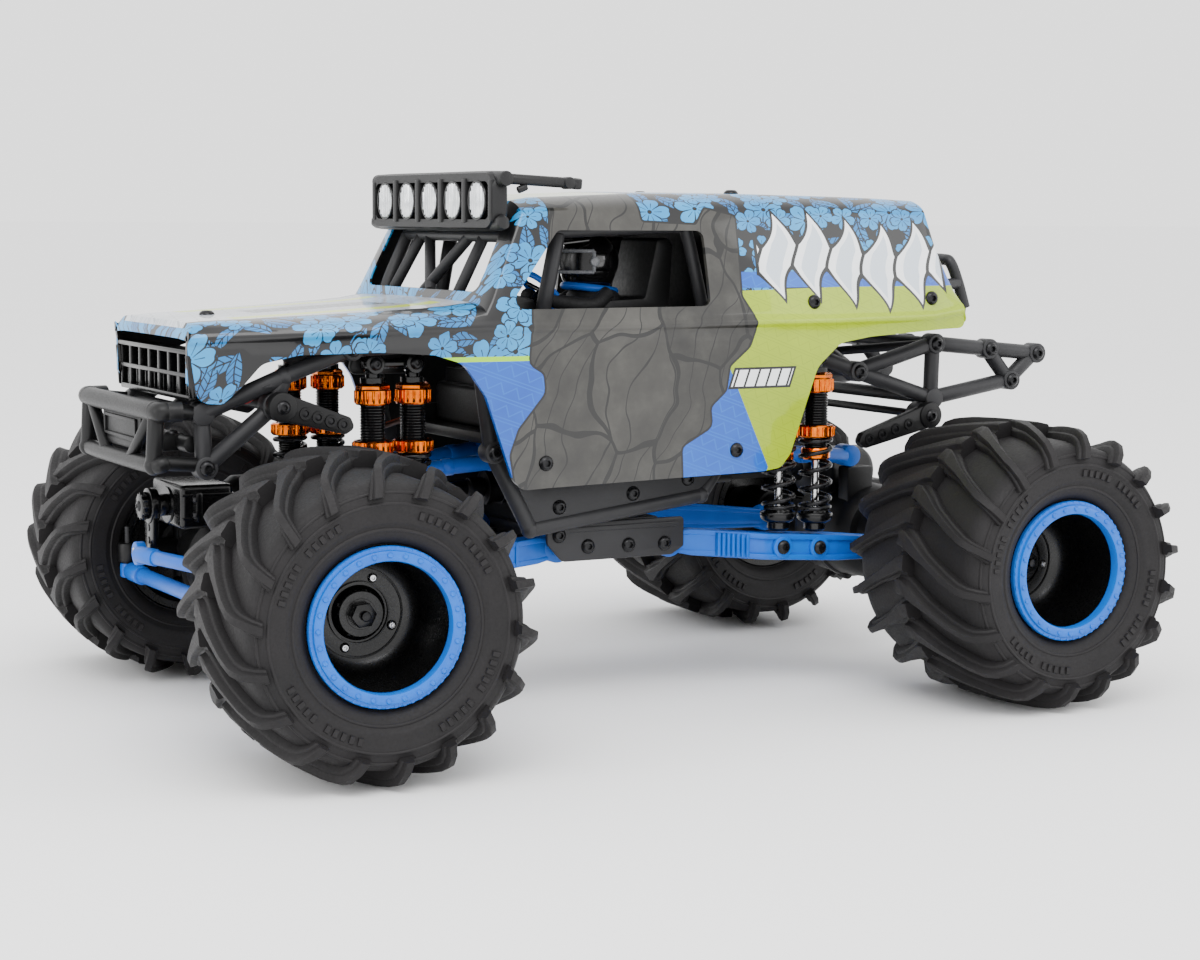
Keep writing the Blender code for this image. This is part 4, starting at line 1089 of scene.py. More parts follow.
def floral(nt, u, v, vec):
    """Five-petal flowers and veined leaves in light blue on black."""
    black = (0.0035, 0.0035, 0.004, 1)
    n = noise(nt, 70, 3.0, 0.55, vec)
    leaf_col = ramp(nt, n.outputs["Fac"], [(0.35, srgb(0, 96, 158)), (0.65, srgb(4, 118, 180))]).outputs["Color"]
    petal_col = ramp(nt, n.outputs["Fac"], [(0.35, srgb(14, 124, 186)), (0.65, srgb(34, 144, 202))]).outputs["Color"]
    # leaves in two crossing layers
    col = None
    for scale, seed, length, wide in ((0.088, 31.0, 0.5, 0.17), (0.11, 77.0, 0.5, 0.18)):
        t, dx, dy, sc = vor(nt, u, v, scale, 0.9, seed)
        ang = mod_(nt, "MULTIPLY", sc.outputs[0], 6.283)
        c, s_ = mod_(nt, "COSINE", ang), mod_(nt, "SINE", ang)
        lx = mod_(nt, "ADD", mod_(nt, "MULTIPLY", dx, c), mod_(nt, "MULTIPLY", dy, s_))
        ly = mod_(nt, "SUBTRACT", mod_(nt, "MULTIPLY", dy, c), mod_(nt, "MULTIPLY", dx, s_))
        ly = mod_(nt, "ADD", ly, mod_(nt, "MULTIPLY", mod_(nt, "MULTIPLY", lx, lx), 0.35))
        q = mod_(nt, "DIVIDE", lx, length)
        edge = mod_(nt, "MULTIPLY", mod_(nt, "SUBTRACT", 1.0, mod_(nt, "MULTIPLY", q, q)), wide)
        body = mod_(nt, "LESS_THAN", mod_(nt, "ABSOLUTE", ly), edge)
        rib = mod_(nt, "GREATER_THAN", mod_(nt, "ABSOLUTE", ly), 0.018)
        # side veins run out from the middle rib
        vv = mod_(nt, "PINGPONG", mod_(nt, "SUBTRACT", lx, mod_(nt, "MULTIPLY", mod_(nt, "ABSOLUTE", ly), 0.9)), 0.085)
        vein = mod_(nt, "GREATER_THAN", vv, 0.016)
        fac = mod_(nt, "MULTIPLY", body, mod_(nt, "MULTIPLY", rib, vein))
        ground = black if col is None else col
        halo = mod_(nt, "LESS_THAN", mod_(nt, "ABSOLUTE", ly), mod_(nt, "ADD", edge, 0.035))
        if col is not None:
            ground = mixc(nt, halo, col, black)
        col = mixc(nt, fac, ground, leaf_col)
    # flowers over them
    for scale, seed, keep in ((0.074, 5.0, 0.22), (0.112, 140.0, 0.42)):
        t, dx, dy, sc = vor(nt, u, v, scale, 0.62, seed)
        r = mod_(nt, "SQRT", mod_(nt, "ADD", mod_(nt, "MULTIPLY", dx, dx), mod_(nt, "MULTIPLY", dy, dy)))
        th = mod_(nt, "ADD", mod_(nt, "ARCTAN2", dy, dx), mod_(nt, "MULTIPLY", sc.outputs[0], 6.283))
        half = mod_(nt, "MULTIPLY", th, 2.5)
        cosv = mod_(nt, "ABSOLUTE", mod_(nt, "COSINE", half))
        sinv = mod_(nt, "ABSOLUTE", mod_(nt, "SINE", half))
        lobes = mod_(nt, "ADD", 0.17, mod_(nt, "MULTIPLY", mod_(nt, "POWER", cosv, 0.55), 0.27))
        # a shallow notch in the end of each petal
        lobes = mod_(nt, "SUBTRACT", lobes, mod_(nt, "MULTIPLY", mod_(nt, "POWER", cosv, 24.0), 0.03))
        on = mod_(nt, "GREATER_THAN", sc.outputs[1], keep)
        body = mod_(nt, "MULTIPLY", on, mod_(nt, "LESS_THAN", r, lobes))
        halo = mod_(nt, "MULTIPLY", on, mod_(nt, "LESS_THAN", r, mod_(nt, "ADD", lobes, 0.045)))
        heart = mod_(nt, "GREATER_THAN", r, 0.05)
        vein = mod_(nt, "MAXIMUM", mod_(nt, "GREATER_THAN", sinv, 0.09), mod_(nt, "GREATER_THAN", r, 0.26))
        vein = mod_(nt, "MAXIMUM", vein, mod_(nt, "LESS_THAN", r, 0.09))
        split = mod_(nt, "GREATER_THAN", cosv, 0.16)
        fac = mod_(nt, "MULTIPLY", mod_(nt, "MULTIPLY", body, heart), mod_(nt, "MULTIPLY", vein, mod_(nt, "MAXIMUM", split, mod_(nt, "LESS_THAN", r, 0.07))))
        col = mixc(nt, halo, col, black)
        col = mixc(nt, fac, col, petal_col)
    return col


def tribal(nt, x, z, base, dark, s=1.0, amount=0.5):
    """Faint angular bands and triangles over a colour."""
    u = mod_(nt, "ADD", mod_(nt, "MULTIPLY", x, 0.20 * s), mod_(nt, "MULTIPLY", z, 0.13 * s))
    v = mod_(nt, "SUBTRACT", mod_(nt, "MULTIPLY", z, 0.2 * s), mod_(nt, "MULTIPLY", x, 0.07 * s))
    row = mod_(nt, "FLOORED_MODULO", v, 1.0)
    zig = mod_(nt, "PINGPONG", mod_(nt, "MULTIPLY", u, 1.0), 0.5)
    l1 = mod_(nt, "LESS_THAN", mod_(nt, "ABSOLUTE", mod_(nt, "SUBTRACT", row, mod_(nt, "ADD", 0.2, zig))), 0.05)
    l2 = mod_(nt, "LESS_THAN", row, 0.06)
    l3 = mod_(nt, "LESS_THAN", mod_(nt, "ABSOLUTE", mod_(nt, "SUBTRACT", row, 0.86)), 0.03)
    fac = mod_(nt, "MULTIPLY", mod_(nt, "MAXIMUM", mod_(nt, "MAXIMUM", l1, l2), l3), amount)
    return mixc(nt, fac, base, dark)


GREYS = round_poly([(27.0, 130.0), (3.2, 130.0), (2.2, 122.0), (-13.5, 121.4), (-16.5, 125.5), (-25.2, 123.6), (-24.4, 103.5), (-28.6, 97.0), (-26.4, 91.0), (-20.5, 86.2), (-19.6, 80.0),
                    (-15.0, 76.0), (-15.6, 71.0), (-6.8, 66.3), (-7.5, 54.0), (38.2, 54.0), (40.4, 66.0), (38.2, 72.1), (31.1, 80.7), (31.6, 85.6), (35.6, 88.0), (34.6, 101.5), (30, 103)],
                   [0, 0, 1, 1, 1, 1, 2, 4, 3, 2, 2, 2, 2, 2, 0, 0, 3, 3, 3, 2, 2, 1, 0], 2)
LIME_Q = [(-24.0, 104.9), (-99.0, 106.6), (-99.0, 50.0), (-28.2, 50.0), (-32.7, 60.0), (-20.5, 85.9)]


def livery(nt, x, y, z, vec):
    ay = mod_(nt, "ABSOLUTE", y)
    v = mod_(nt, "SUBTRACT", z, ay)
    u = mod_(nt, "ADD", x, mod_(nt, "MULTIPLY", mod_(nt, "GREATER_THAN", y, 0.0), 400.0))
    col = floral(nt, u, v, vec)
    # royal blue on the lower door, front and back
    low = mod_(nt, "MULTIPLY", mod_(nt, "LESS_THAN", z, 88.9), band(nt, x, -48.0, 62.0))
    blue = tribal(nt, x, z, tone(nt, vec, srgb(0, 72, 170), srgb(0, 86, 184), 45), srgb(24, 112, 200), 1.0, 0.4)
    col = mixc(nt, low, col, blue)
    thin = mod_(nt, "MULTIPLY", band(nt, z, 88.7, 89.9), band(nt, x, 33.0, 62.0))
    col = mixc(nt, thin, col, srgb(150, 212, 0))
    # lime rear quarter
    lime = tribal(nt, x, z, tone(nt, vec, (0.27, 0.37, 0.0, 1), (0.31, 0.42, 0.0, 1), 45), (0.21, 0.30, 0.0, 1), 1.15, 0.5)
    col = mixc(nt, inside(nt, x, z, LIME_Q), col, lime)
    # blue band over the lime, to the rear edge
    bb = mod_(nt, "MULTIPLY", band(nt, z, 105.6, 109.6), mod_(nt, "LESS_THAN", x, -24.0))
    col = mixc(nt, bb, col, blue)
    # grey carved-board shape with a black edge: bent grain, cut lines and a few inlaid panels
    wn_ = noise(nt, 38, 2.0, 0.5, vec)
    sw = nt.nodes.new("ShaderNodeSeparateColor")
    nt.links.new(wn_.outputs["Color"], sw.inputs[0])
    wx = mod_(nt, "ADD", x, mod_(nt, "MULTIPLY", mod_(nt, "SUBTRACT", sw.outputs[0], 0.5), 26.0))
    wz = mod_(nt, "ADD", z, mod_(nt, "MULTIPLY", mod_(nt, "SUBTRACT", sw.outputs[1], 0.5), 26.0))
    cell, _, _, _ = vor(nt, wx, mod_(nt, "MULTIPLY", wz, 0.8), 0.062, 0.9, 12.0, "DISTANCE_TO_EDGE")
    cut_l = mod_(nt, "GREATER_THAN", cell.outputs["Distance"], 0.03)
    grain = mod_(nt, "PINGPONG", mod_(nt, "ADD", mod_(nt, "MULTIPLY", wx, 0.16), mod_(nt, "MULTIPLY", wz, 0.05)), 0.5)
    grain_l = mod_(nt, "GREATER_THAN", grain, 0.03)
    nz = noise(nt, 120, 4.0, 0.6, vec)
    wood_c = ramp(nt, nz.outputs["Fac"], [(0.3, srgb(30, 29, 27)), (0.5, srgb(42, 41, 38)), (0.72, srgb(58, 57, 53))]).outputs["Color"]
    t2, _, _, sc2 = vor(nt, wx, mod_(nt, "MULTIPLY", wz, 0.8), 0.062, 0.9, 12.0)
    wood_c = mixc(nt, mod_(nt, "MULTIPLY", mod_(nt, "POWER", sc2.outputs[0], 2.0), 0.35), wood_c, srgb(84, 82, 77))
    wood_c = mixc(nt, mod_(nt, "MULTIPLY", cut_l, grain_l), srgb(18, 18, 17), wood_c)
    col = mixc(nt, inside(nt, x, z, grown(GREYS, 0.45)), col, (0.004, 0.004, 0.004, 1))
    col = mixc(nt, inside(nt, x, z, grown(GREYS, -0.1)), col, wood_c)
    # plain row of white blades with black edges on the rear quarter
    tri = mod_(nt, "PINGPONG", mod_(nt, "ADD", mod_(nt, "ADD", x, 96.0), mod_(nt, "MULTIPLY", mod_(nt, "SINE", mod_(nt, "MULTIPLY", z, 0.33)), 1.5)), 5.4)
    along = mod_(nt, "MULTIPLY", tri, 1.0 / 5.4)
    tilt = mod_(nt, "SUBTRACT", z, mod_(nt, "ADD", 112.2, mod_(nt, "MULTIPLY", mod_(nt, "SINE", mod_(nt, "MULTIPLY", x, 0.11)), 1.6)))
    h = mod_(nt, "ADD", 2.2, mod_(nt, "MULTIPLY", mod_(nt, "POWER", along, 1.35), 8.6))
    on = band(nt, x, -88.8, -30.6)
    on2 = band(nt, x, -89.9, -29.6)
    at = mod_(nt, "ABSOLUTE", tilt)
    w_in = mod_(nt, "MULTIPLY", on, mod_(nt, "LESS_THAN", at, h))
    w_in = mod_(nt, "MULTIPLY", w_in, mod_(nt, "GREATER_THAN", tri, 0.55))
    w_out = mod_(nt, "MULTIPLY", on2, mod_(nt, "LESS_THAN", at, mod_(nt, "ADD", h, 1.5)))
    inner = mod_(nt, "MULTIPLY", on, mod_(nt, "LESS_THAN", at, mod_(nt, "SUBTRACT", h, 2.6)))
    inner = mod_(nt, "MULTIPLY", inner, mod_(nt, "GREATER_THAN", tri, 2.9))
    col = mixc(nt, w_out, col, (0.004, 0.004, 0.004, 1))
    col = mixc(nt, w_in, col, tone(nt, vec, srgb(228, 232, 236), srgb(246, 248, 250), 60))
    col = mixc(nt, inner, col, srgb(196, 206, 216))
    # small plain badge
    sh = mod_(nt, "SUBTRACT", x, mod_(nt, "MULTIPLY", z, -0.35))
    b0 = mod_(nt, "MULTIPLY", band(nt, sh, -10.9, 7.9), band(nt, z, 80.2, 85.6))
    b1 = mod_(nt, "MULTIPLY", band(nt, sh, -10.2, 7.2), band(nt, z, 80.8, 85.0))
    b2 = mod_(nt, "MULTIPLY", b1, mod_(nt, "GREATER_THAN", mod_(nt, "PINGPONG", sh, 1.6), 0.32))
    side = mod_(nt, "GREATER_THAN", ay, 36.0)
    col = mixc(nt, mod_(nt, "MULTIPLY", side, b0), col, (0.004, 0.004, 0.004, 1))
    col = mixc(nt, mod_(nt, "MULTIPLY", side, b2), col, srgb(238, 240, 242))
    # top of the hood: pale middle with lime strips and black lines
    hood = mod_(nt, "MULTIPLY", band(nt, x, 47.0, 130.0), mod_(nt, "LESS_THAN", ay, mod_(nt, "SUBTRACT", 34.5, mod_(nt, "MULTIPLY", mod_(nt, "SUBTRACT", x, 47.0), 0.16))))
    hood = mod_(nt, "MULTIPLY", hood, mod_(nt, "GREATER_THAN", z, 97.0))
    pc = tribal(nt, x, y, tone(nt, vec, srgb(140, 146, 156), srgb(200, 206, 212), 34), srgb(92, 98, 108), 0.8, 0.5)
    col = mixc(nt, hood, col, (0.004, 0.004, 0.004, 1))
    hood2 = mod_(nt, "MULTIPLY", hood, mod_(nt, "LESS_THAN", ay, mod_(nt, "SUBTRACT", 33.2, mod_(nt, "MULTIPLY", mod_(nt, "SUBTRACT", x, 47.0), 0.16))))
    col = mixc(nt, hood2, col, pc)
    ls = mod_(nt, "MULTIPLY", band(nt, mod_(nt, "ABSOLUTE", mod_(nt, "SUBTRACT", ay, 20.0)), -1.0, 3.4), band(nt, x, 50.0, 103.0))
    col = mixc(nt, mod_(nt, "MULTIPLY", hood2, ls), col, srgb(196, 214, 60))
    ls2 = mod_(nt, "MULTIPLY", mod_(nt, "LESS_THAN", ay, 7.0), band(nt, x, 58.0, 92.0))
    col = mixc(nt, mod_(nt, "MULTIPLY", hood2, ls2), col, tribal(nt, x, y, srgb(38, 40, 44), srgb(150, 176, 190), 1.6, 0.7))
    # front of the roof is pale too
    roof = mod_(nt, "MULTIPLY", band(nt, x, 4.0, 37.4), mod_(nt, "MULTIPLY", mod_(nt, "LESS_THAN", ay, 29.5), mod_(nt, "GREATER_THAN", z, 124.0)))
    return mixc(nt, roof, col, tribal(nt, x, y, tone(nt, vec, srgb(190, 200, 150), srgb(222, 226, 220), 34), srgb(150, 160, 90), 0.8, 0.4))


paint_material("paint", livery)

_pts, _faces = closed_skin(skin(0.0, XS), skin(-T, XS))
shell = bpy.data.objects.new("vis_shell", raw_mesh(_pts, _faces))
bpy.context.scene.collection.objects.link(shell)
cut(shell, *extruded(round_poly(SIDE, CORNER, 5), side_xz, -60, 60), op="INTERSECT")
cut(shell, *extruded(WINDOW, side_xz, -60, 60))
SCREEN = round_poly([(-34.2, 105.0), (34.2, 105.0), (32.6, 121.2), (-32.6, 121.2)], [3, 3, 2.5, 2.5], 5)
cut(shell, *extruded(SCREEN, lambda u, v, w: (w, u, v), 33.0, 60.0))
REAR = round_poly([(-30, 103.2), (30, 103.2), (29, 123.0), (-29, 123.0)], 3.0, 5)
cut(shell, *extruded(REAR, lambda u, v, w: (w, u, v), -110.0, -80.0))
bm = bmesh.new()
bm.from_mesh(shell.data)
bmesh.ops.remove_doubles(bm, verts=bm.verts, dist=2e-7)
bm.to_mesh(shell.data)
bm.free()
for nm in ("paint", "liner_black"):
    shell.data.materials.append(MATS[nm])
# the inside of the moulding stays dull
_o = skin(0.0, XS)
_rn, _cn = _o.shape[:2]
_ov = [V(p) for p in _o.reshape(-1, 3)]
_of = [[i * _cn + j, (i + 1) * _cn + j, (i + 1) * _cn + j + 1, i * _cn + j + 1] for i in range(_rn - 1) for j in range(_cn - 1)]
OUTER = BVHTree.FromPolygons(_ov, _of)
for poly in shell.data.polygons:
    _, _, _, dist = OUTER.find_nearest(poly.center)
    poly.material_index = 1 if dist is not None and dist > 0.0007 else 0
    poly.use_smooth = True
shell.data.set_sharp_from_angle(angle=math.radians(32))
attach(shell, "chassis")
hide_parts("body_shell")
# ================= cage frames, skid, bumper =================
def frame_nodes(yf=25.0, ym=33.0, yr=30.0):
    return {
        "A": (112.0, yf, 77.2), "B": (111.4, yf, 64.6), "S": (95.4, yf + 3.4, 78.8), "D": (93.8, ym - 2, 85.8),
        "F": (78.0, ym, 92.0), "G": (45.0, ym, 93.5), "M": (-20.0, ym, 94.0), "N": (-52.0, 27.0, 89.0),
        "n1": (-67.8, yr, 82.8), "n2": (-92.8, yr, 89.7), "n3": (-111.0, yr, 87.9), "n4": (-127.2, yr, 86.4),
        "n5": (-118.5, yr, 79.2), "n6": (-92.4, yr, 74.9), "K": (41.0, ym, 66.0), "L": (30.5, ym, 46.4),
        "P": (-18.3, ym, 52.6), "Q": (-31.0, 28.4, 66.0), "R": (-89.3, yr - 0.4, 70.6),
    }


def cage_geo():
    g = Geo()
    p = frame_nodes()
    links = ["AB", "BS", "AD", "SD", "DF", "FG", "GM", "MN", ("N", "n1"), ("n1", "n2"), ("n2", "n3"), ("n3", "n4"),
             ("n4", "n5"), ("n5", "n6"), ("n6", "n1"), ("n3", "n5"), ("n2", "n6"), "GK", "KL", "LP", "PQ", "QN", ("n6", "R")]
    for link in links:
        a, b = np.array(p[link[0]]), np.array(p[link[1]])
        cyl(g, a, b, 2.05, 20, 0, cham=0.1)
    for key in p:
        ball(g, p[key], 2.3, 16, 10, 0)
    # moulded lower panel between the two lower bars
    panel = round_poly([(39.6, 64.6), (31.0, 47.4), (-17.2, 53.4), (-25.0, 61.0), (-17.0, 60.2), (28.0, 56.6)], [2, 2, 2, 2, 4, 4], 4)
    slab(g, panel, lambda u, v, w: (u, 31.9 + w, v), 2.2, 0, 0.4)
    # bosses for the screws
    for key in ("A", "B", "F", "M", "n1", "n2", "n3", "n4", "n5", "n6", "K", "N"):
        x, y, z = p[key]
        cyl(g, (x, y - 2.4, z), (x, y + 2.25, z), 2.75, 24, 0, cham=0.3)
    for key in "SR":
        x, y, z = p[key]
        cyl(g, (x, y - 2.2, z), (x, y + 2.2, z), 3.4, 28, 0, cham=0.4)
    # gussets where bars meet
    for tri in (("n1", "n2", "n6"), ("n5", "n6", "R"), ("A", "S", "B"), ("D", "S", "A")):
        c = [np.array(p[k]) for k in tri]
        m = c[0]
        q = [(m[0], m[2])] + [tuple((m + (k - m) * 0.3)[[0, 2]]) for k in c[1:]]
        y = m[1]
        slab(g, q, lambda u, v, w, y=y: (u, y - 1.0 + w, v), 2.0, 0, 0.3)
    return g


def cage_screws():
    g = Geo()
    p = frame_nodes()
    for key in ("B", "F", "M", "n1", "n2", "n3", "n4", "n5", "K"):
        x, y, z = p[key]
        button_screw(g, (x, y + 2.1, z), (0, 1, 0), 1.9, 1.05, 0)
    for x, z in ((22.9, 51.6), (2.0, 54.0), (-14.0, 57.0)):
        button_screw(g, (x, 34.0, z), (0, 1, 0), 1.9, 1.05, 0)
    return g


g = cage_geo()
make("vis_cage_left", g, ["nylon_grey"], "chassis", ["cage_left"], angle=45)
make("vis_cage_right", g.mirrored(), ["nylon_grey"], "chassis", ["cage_right"], angle=45)
g = cage_screws()
make("vis_cage_screws_left", g, ["steel_dark"], "chassis")
make("vis_cage_screws_right", g.mirrored(), ["steel_dark"], "chassis")

# cross members between the two sides
g = Geo()
for key in ("F", "M", "n1", "n2", "n4", "n6", "A", "S"):
    x, y, z = frame_nodes()[key]
    cyl(g, (x, -y, z), (x, y, z), 1.7 if key not in ("A", "S") else 1.5, 18, 0, cham=0.1)
for sx0, sx1 in ((("n1"), ("n2")), (("n2"), ("n4"))):
    a, b = frame_nodes()[sx0], frame_nodes()[sx1]
    cyl(g, (a[0], a[1], a[2]), (b[0], -b[1], b[2]), 1.3, 14, 0, cham=0.1)
    cyl(g, (a[0], -a[1], a[2]), (b[0], b[1], b[2]), 1.3, 14, 0, cham=0.1)
make("vis_cage_cross", g, ["nylon_grey"], "chassis", angle=45)

# shock towers under the shell: a plate with the top pins
g = Geo()
for x0, y in ((64.75, 27.5), (-46.15, 35.5)):
    for sy in (1, -1):
        ya = sy * (y - 6.2)
        plate = round_poly([(x0 - 9.5, 85.2), (x0 + 9.5, 85.2), (x0 + 8.0, 91.4), (x0 - 8.0, 91.4)], 1.6, 3)
        lo, hi = sorted((ya, ya + sy * 2.0))
        slab(g, plate, lambda u, v, w, lo=lo: (u, lo + w, v), 2.0, 0, 0.3)
for x0, y in ((64.75, 27.5), (-46.15, 35.5)):
    cyl(g, (x0, -(y - 4.4), 89.6), (x0, y - 4.4, 89.6), 1.9, 18, 0, cham=0.1)
make("vis_shock_towers", g, ["nylon_mid"], "chassis", angle=40)

# skid plate: the flat belly, its risers, side walls and the screws seen from the side
g = Geo()
belly = round_poly([(26.0, -20.0), (26.0, 20.0), (20.0, 20.6), (-14.0, 20.6), (-20.0, 20.0), (-20.0, -20.0), (-14.0, -20.6), (20.0, -20.6)], 2.0, 4)
slab(g, belly, lambda u, v, w: (u, v, 36.6 + w), 2.8, 0, 0.6, 3)
rbox(g, (-9.0, -20.3, 39.0), (16.0, 20.3, 43.0), 0.7)
rbox(g, (-8.0, -29.6, 41.0), (14.5, 29.6, 47.3), 0.7)
for k in range(5):
    y = -16 + 8 * k
    rbox(g, (-19.0, y - 0.6, 39.2), (25.0, y + 0.6, 40.4), 0.2)
for sy in (1, -1):
    wall = round_poly([(-15.0, 39.2), (-11.5, 37.2), (20.0, 37.2), (24.5, 42.0), (24.5, 46.9), (-15.0, 46.9)], [1, 2, 2, 2, 1, 1], 4)
    lo = 29.4 if sy > 0 else -30.7
    slab(g, wall, lambda u, v, w, lo=lo: (u, lo + w, v), 1.3, 0, 0.35)
    rib = round_poly([(-13.0, 44.6), (23.0, 44.6), (23.0, 45.8), (-13.0, 45.8)], 0.3, 2)
    lo2 = 30.5 if sy > 0 else -31.1
    slab(g, rib, lambda u, v, w, lo2=lo2: (u, lo2 + w, v), 0.6, 0, 0.2)
    for x in (19.0, -12.0):
        cyl(g, (x, sy * 17.0, 40.2), (x, sy * 20.3, 40.2), 1.6, 16, 0)
make("vis_skid", g, ["nylon_grey"], "chassis", ["skid_plate"], angle=40)
g = Geo()
for sy in (1, -1):
    for x, z in ((21.2, 44.0), (13.0, 40.8), (1.3, 40.5), (-9.2, 40.3)):
        button_screw(g, (x, sy * 30.65, z), (0, sy, 0), 1.9, 1.05, 0)
make("vis_skid_screws", g, ["steel_dark"], "chassis")

# front bumper
g = Geo()
top = smooth_path([(118.2, -29.6, 78.2), (121.4, -29.0, 78.2), (123.4, -26.4, 78.2), (123.5, 0, 78.2), (123.4, 26.4, 78.2), (121.4, 29.0, 78.2), (118.2, 29.6, 78.2)], 8)
tube(g, top, 2.35, 20)
low = smooth_path([(121.4, -27.6, 66.6), (123.6, -25.6, 65.7), (124.2, 0, 65.6), (123.6, 25.6, 65.7), (121.4, 27.6, 66.6)], 8)
tube(g, low, 1.95, 18)
for sy in (1, -1):
    cyl(g, (123.2, sy * 26.3, 78.2), (123.9, sy * 26.1, 65.7), 1.95, 18)
    cyl(g, (123.3, sy * 24.0, 77.5), (124.0, sy * 9.0, 65.7), 1.55, 16)
    ball(g, (123.2, sy * 26.3, 78.2), 2.6, 16, 10)
    ball(g, (123.9, sy * 26.1, 65.7), 2.3, 16, 10)
    cyl(g, (112.6, sy * 25.0, 77.2), (122.0, sy * 27.4, 78.2), 1.7, 16)
    cyl(g, (111.6, sy * 25.0, 65.2), (122.4, sy * 26.2, 66.2), 1.7, 16)
rbox(g, (112.6, -16.0, 67.8), (121.9, 16.0, 71.8), 0.7)
# solid centre plate with a shallow framed recess
rbox(g, (121.0, -15.0, 68.2), (123.4, 15.0, 77.4), 0.5)
rbox(g, (123.0, -12.4, 74.6), (124.0, 12.4, 75.4), 0.3)
rbox(g, (123.0, -12.4, 70.2), (124.0, 12.4, 71.0), 0.3)
for y in (-12.4, 11.6):
    rbox(g, (123.0, y, 70.2), (124.0, y + 0.8, 75.4), 0.3)
rbox(g, (120.6, -15.0, 75.6), (123.6, 15.0, 77.6), 0.5)
rbox(g, (120.6, -15.0, 68.0), (123.6, 15.0, 69.8), 0.5)
cyl(g, (113.4, -22.4, 69.8), (113.4, 22.4, 69.8), 2.0, 20)
make("vis_bumper", g, ["nylon_black"], "chassis", ["front_bumper"], angle=40)
g = Geo()
for sy in (1, -1):
    button_screw(g, (125.0, sy * 18.8, 72.6), (1, 0, 0), 1.5, 0.9, 0) if False else None
    for x in (115.0, 119.4):
        button_screw(g, (x, sy * 12.5, 71.7), (0, 0, 1), 1.7, 0.9, 0)
make("vis_bumper_screws", g, ["steel_dark"], "chassis")

# ================= grille =================
g = Geo()
rbox(g, (109.4, -25.8, 80.2), (112.6, 25.8, 92.0), 0.5)


def lip(z0, z1, x1, half):
    rbox(g, (111.0, -half, z0), (x1, half, z1), 0.45)


lip(91.0, 92.2, 116.0, 26.2)
lip(85.6, 86.7, 115.7, 26.4)
lip(80.2, 81.6, 115.4, 26.2)
for k in range(8):
    y = -26.0 + 52.0 * k / 7
    rbox(g, (111.6, max(y - 0.8, -26.2), 80.6), (115.3, min(y + 0.8, 26.2), 91.6), 0.35)
for k in range(14):
    y = -24.0 + 48.0 * (k + 0.5) / 14
    rbox(g, (111.6, y - 0.4, 81.2), (114.6, y + 0.4, 86.0), 0.15)
for sy in (1, -1):
    cyl(g, (114.6, 27.4 * sy, 81.0), (115.4, 26.8 * sy, 91.0), 0.9, 14)
make("vis_grille", g, ["nylon_gloss"], "chassis", ["grille"], angle=40)

# ================= gearbox, motor, battery, driveshafts =================
g = Geo()
rbox(g, (-8.5, -15.0, 47.9), (15.5, 9.0, 63.0), 1.6, 0, 3)
for k in range(4):
    rbox(g, (-6.0 + 6.0 * k, -14.4, 62.6), (-4.4 + 6.0 * k, 8.4, 63.9), 0.3)
lathe(g, (3.0, 9.0, 57.2), (0, 1, 0), [(-1, 0), (-1, 8.6), (0, 8.8), (3, 8.8), (3.4, 8.4), (3.8, 8.8), (17.4, 8.8), (18.2, 8.4), (18.4, 6.4), (18.9, 6.2), (19.4, 3.0), (20.0, 2.8), (20.0, 0)], 40, 1)
cyl(g, (-19.5, -6, 52.5), (24.5, -6, 52.5), 4.0, 28)
for x in (-19.3, -14.6, 19.4, 24.0):
    lathe(g, (x, -6, 52.5), (1, 0, 0), [(-0.6, 3.9), (-0.6, 4.5), (0.6, 4.5), (0.6, 3.9)], 28, 0, closed=True)
for k in range(6):
    a = math.pi / 3 * k
    rbox(g, (3 + 6.4 * math.cos(a) - 0.9, 26.4, 57.2 + 6.4 * math.sin(a) - 0.9), (3 + 6.4 * math.cos(a) + 0.9, 27.6, 57.2 + 6.4 * math.sin(a) + 0.9), 0.2, 1)
make("vis_gearbox", g, ["nylon_black", "steel_dark"], "chassis", ["gearbox"], angle=40)

g = Geo()
rbox(g, (-36.0, -24.0, 66.5), (37.0, 21.0, 69.5), 1.0)
rbox(g, (-30.0, -23.0, 69.3), (2.0, 12.0, 84.0), 1.6, 0, 3)
rbox(g, (10.0, -20.0, 69.3), (32.0, 10.0, 80.0), 1.6, 0, 3)
for k in range(7):
    rbox(g, (12.0 + 2.8 * k, -18.0, 79.6), (13.2 + 2.8 * k, 8.0, 83.6), 0.2)
for sy in (1, -1):
    rbox(g, (-35.0, sy * 22.0 - 1.2, 66.0), (36.0, sy * 22.0 + 1.2, 74.0), 0.6)
make("vis_electronics", g, ["nylon_black"], "chassis", angle=40)

for end, word, x0 in ((1, "front", 24.5), (-1, "rear", -19.5)):
    g = Geo()
    xa, xb = x0 + end * 0.5, end * (BASE - 16.6)
    mid = (xa + xb) / 2
    cyl(g, (xa, -6, 52.5), (xa + end * 4.2, -6, 52.5), 2.9, 20)
    cyl(g, (xb - end * 4.2, -6, 52.5), (xb, -6, 52.5), 2.9, 20)
    cyl(g, (xa + end * 3, -6, 52.5), (mid + end * 4, -6, 52.5), 2.2, 20)
    cyl(g, (mid - end * 4, -6, 52.5), (xb - end * 3, -6, 52.5), 1.6, 6)
    for x in (xa + end * 3.4, xb - end * 3.4):
        ball(g, (x, -6, 52.5), 2.7, 16, 10)
        cyl(g, (x, -8.9, 52.5), (x, -3.1, 52.5), 0.9, 12)
        cyl(g, (x, -6, 49.6), (x, -6, 55.4), 0.9, 12)
    make("vis_driveshaft_" + word, g, ["nylon_black"], "shaft_" + word, ["driveshaft_" + word], angle=40)

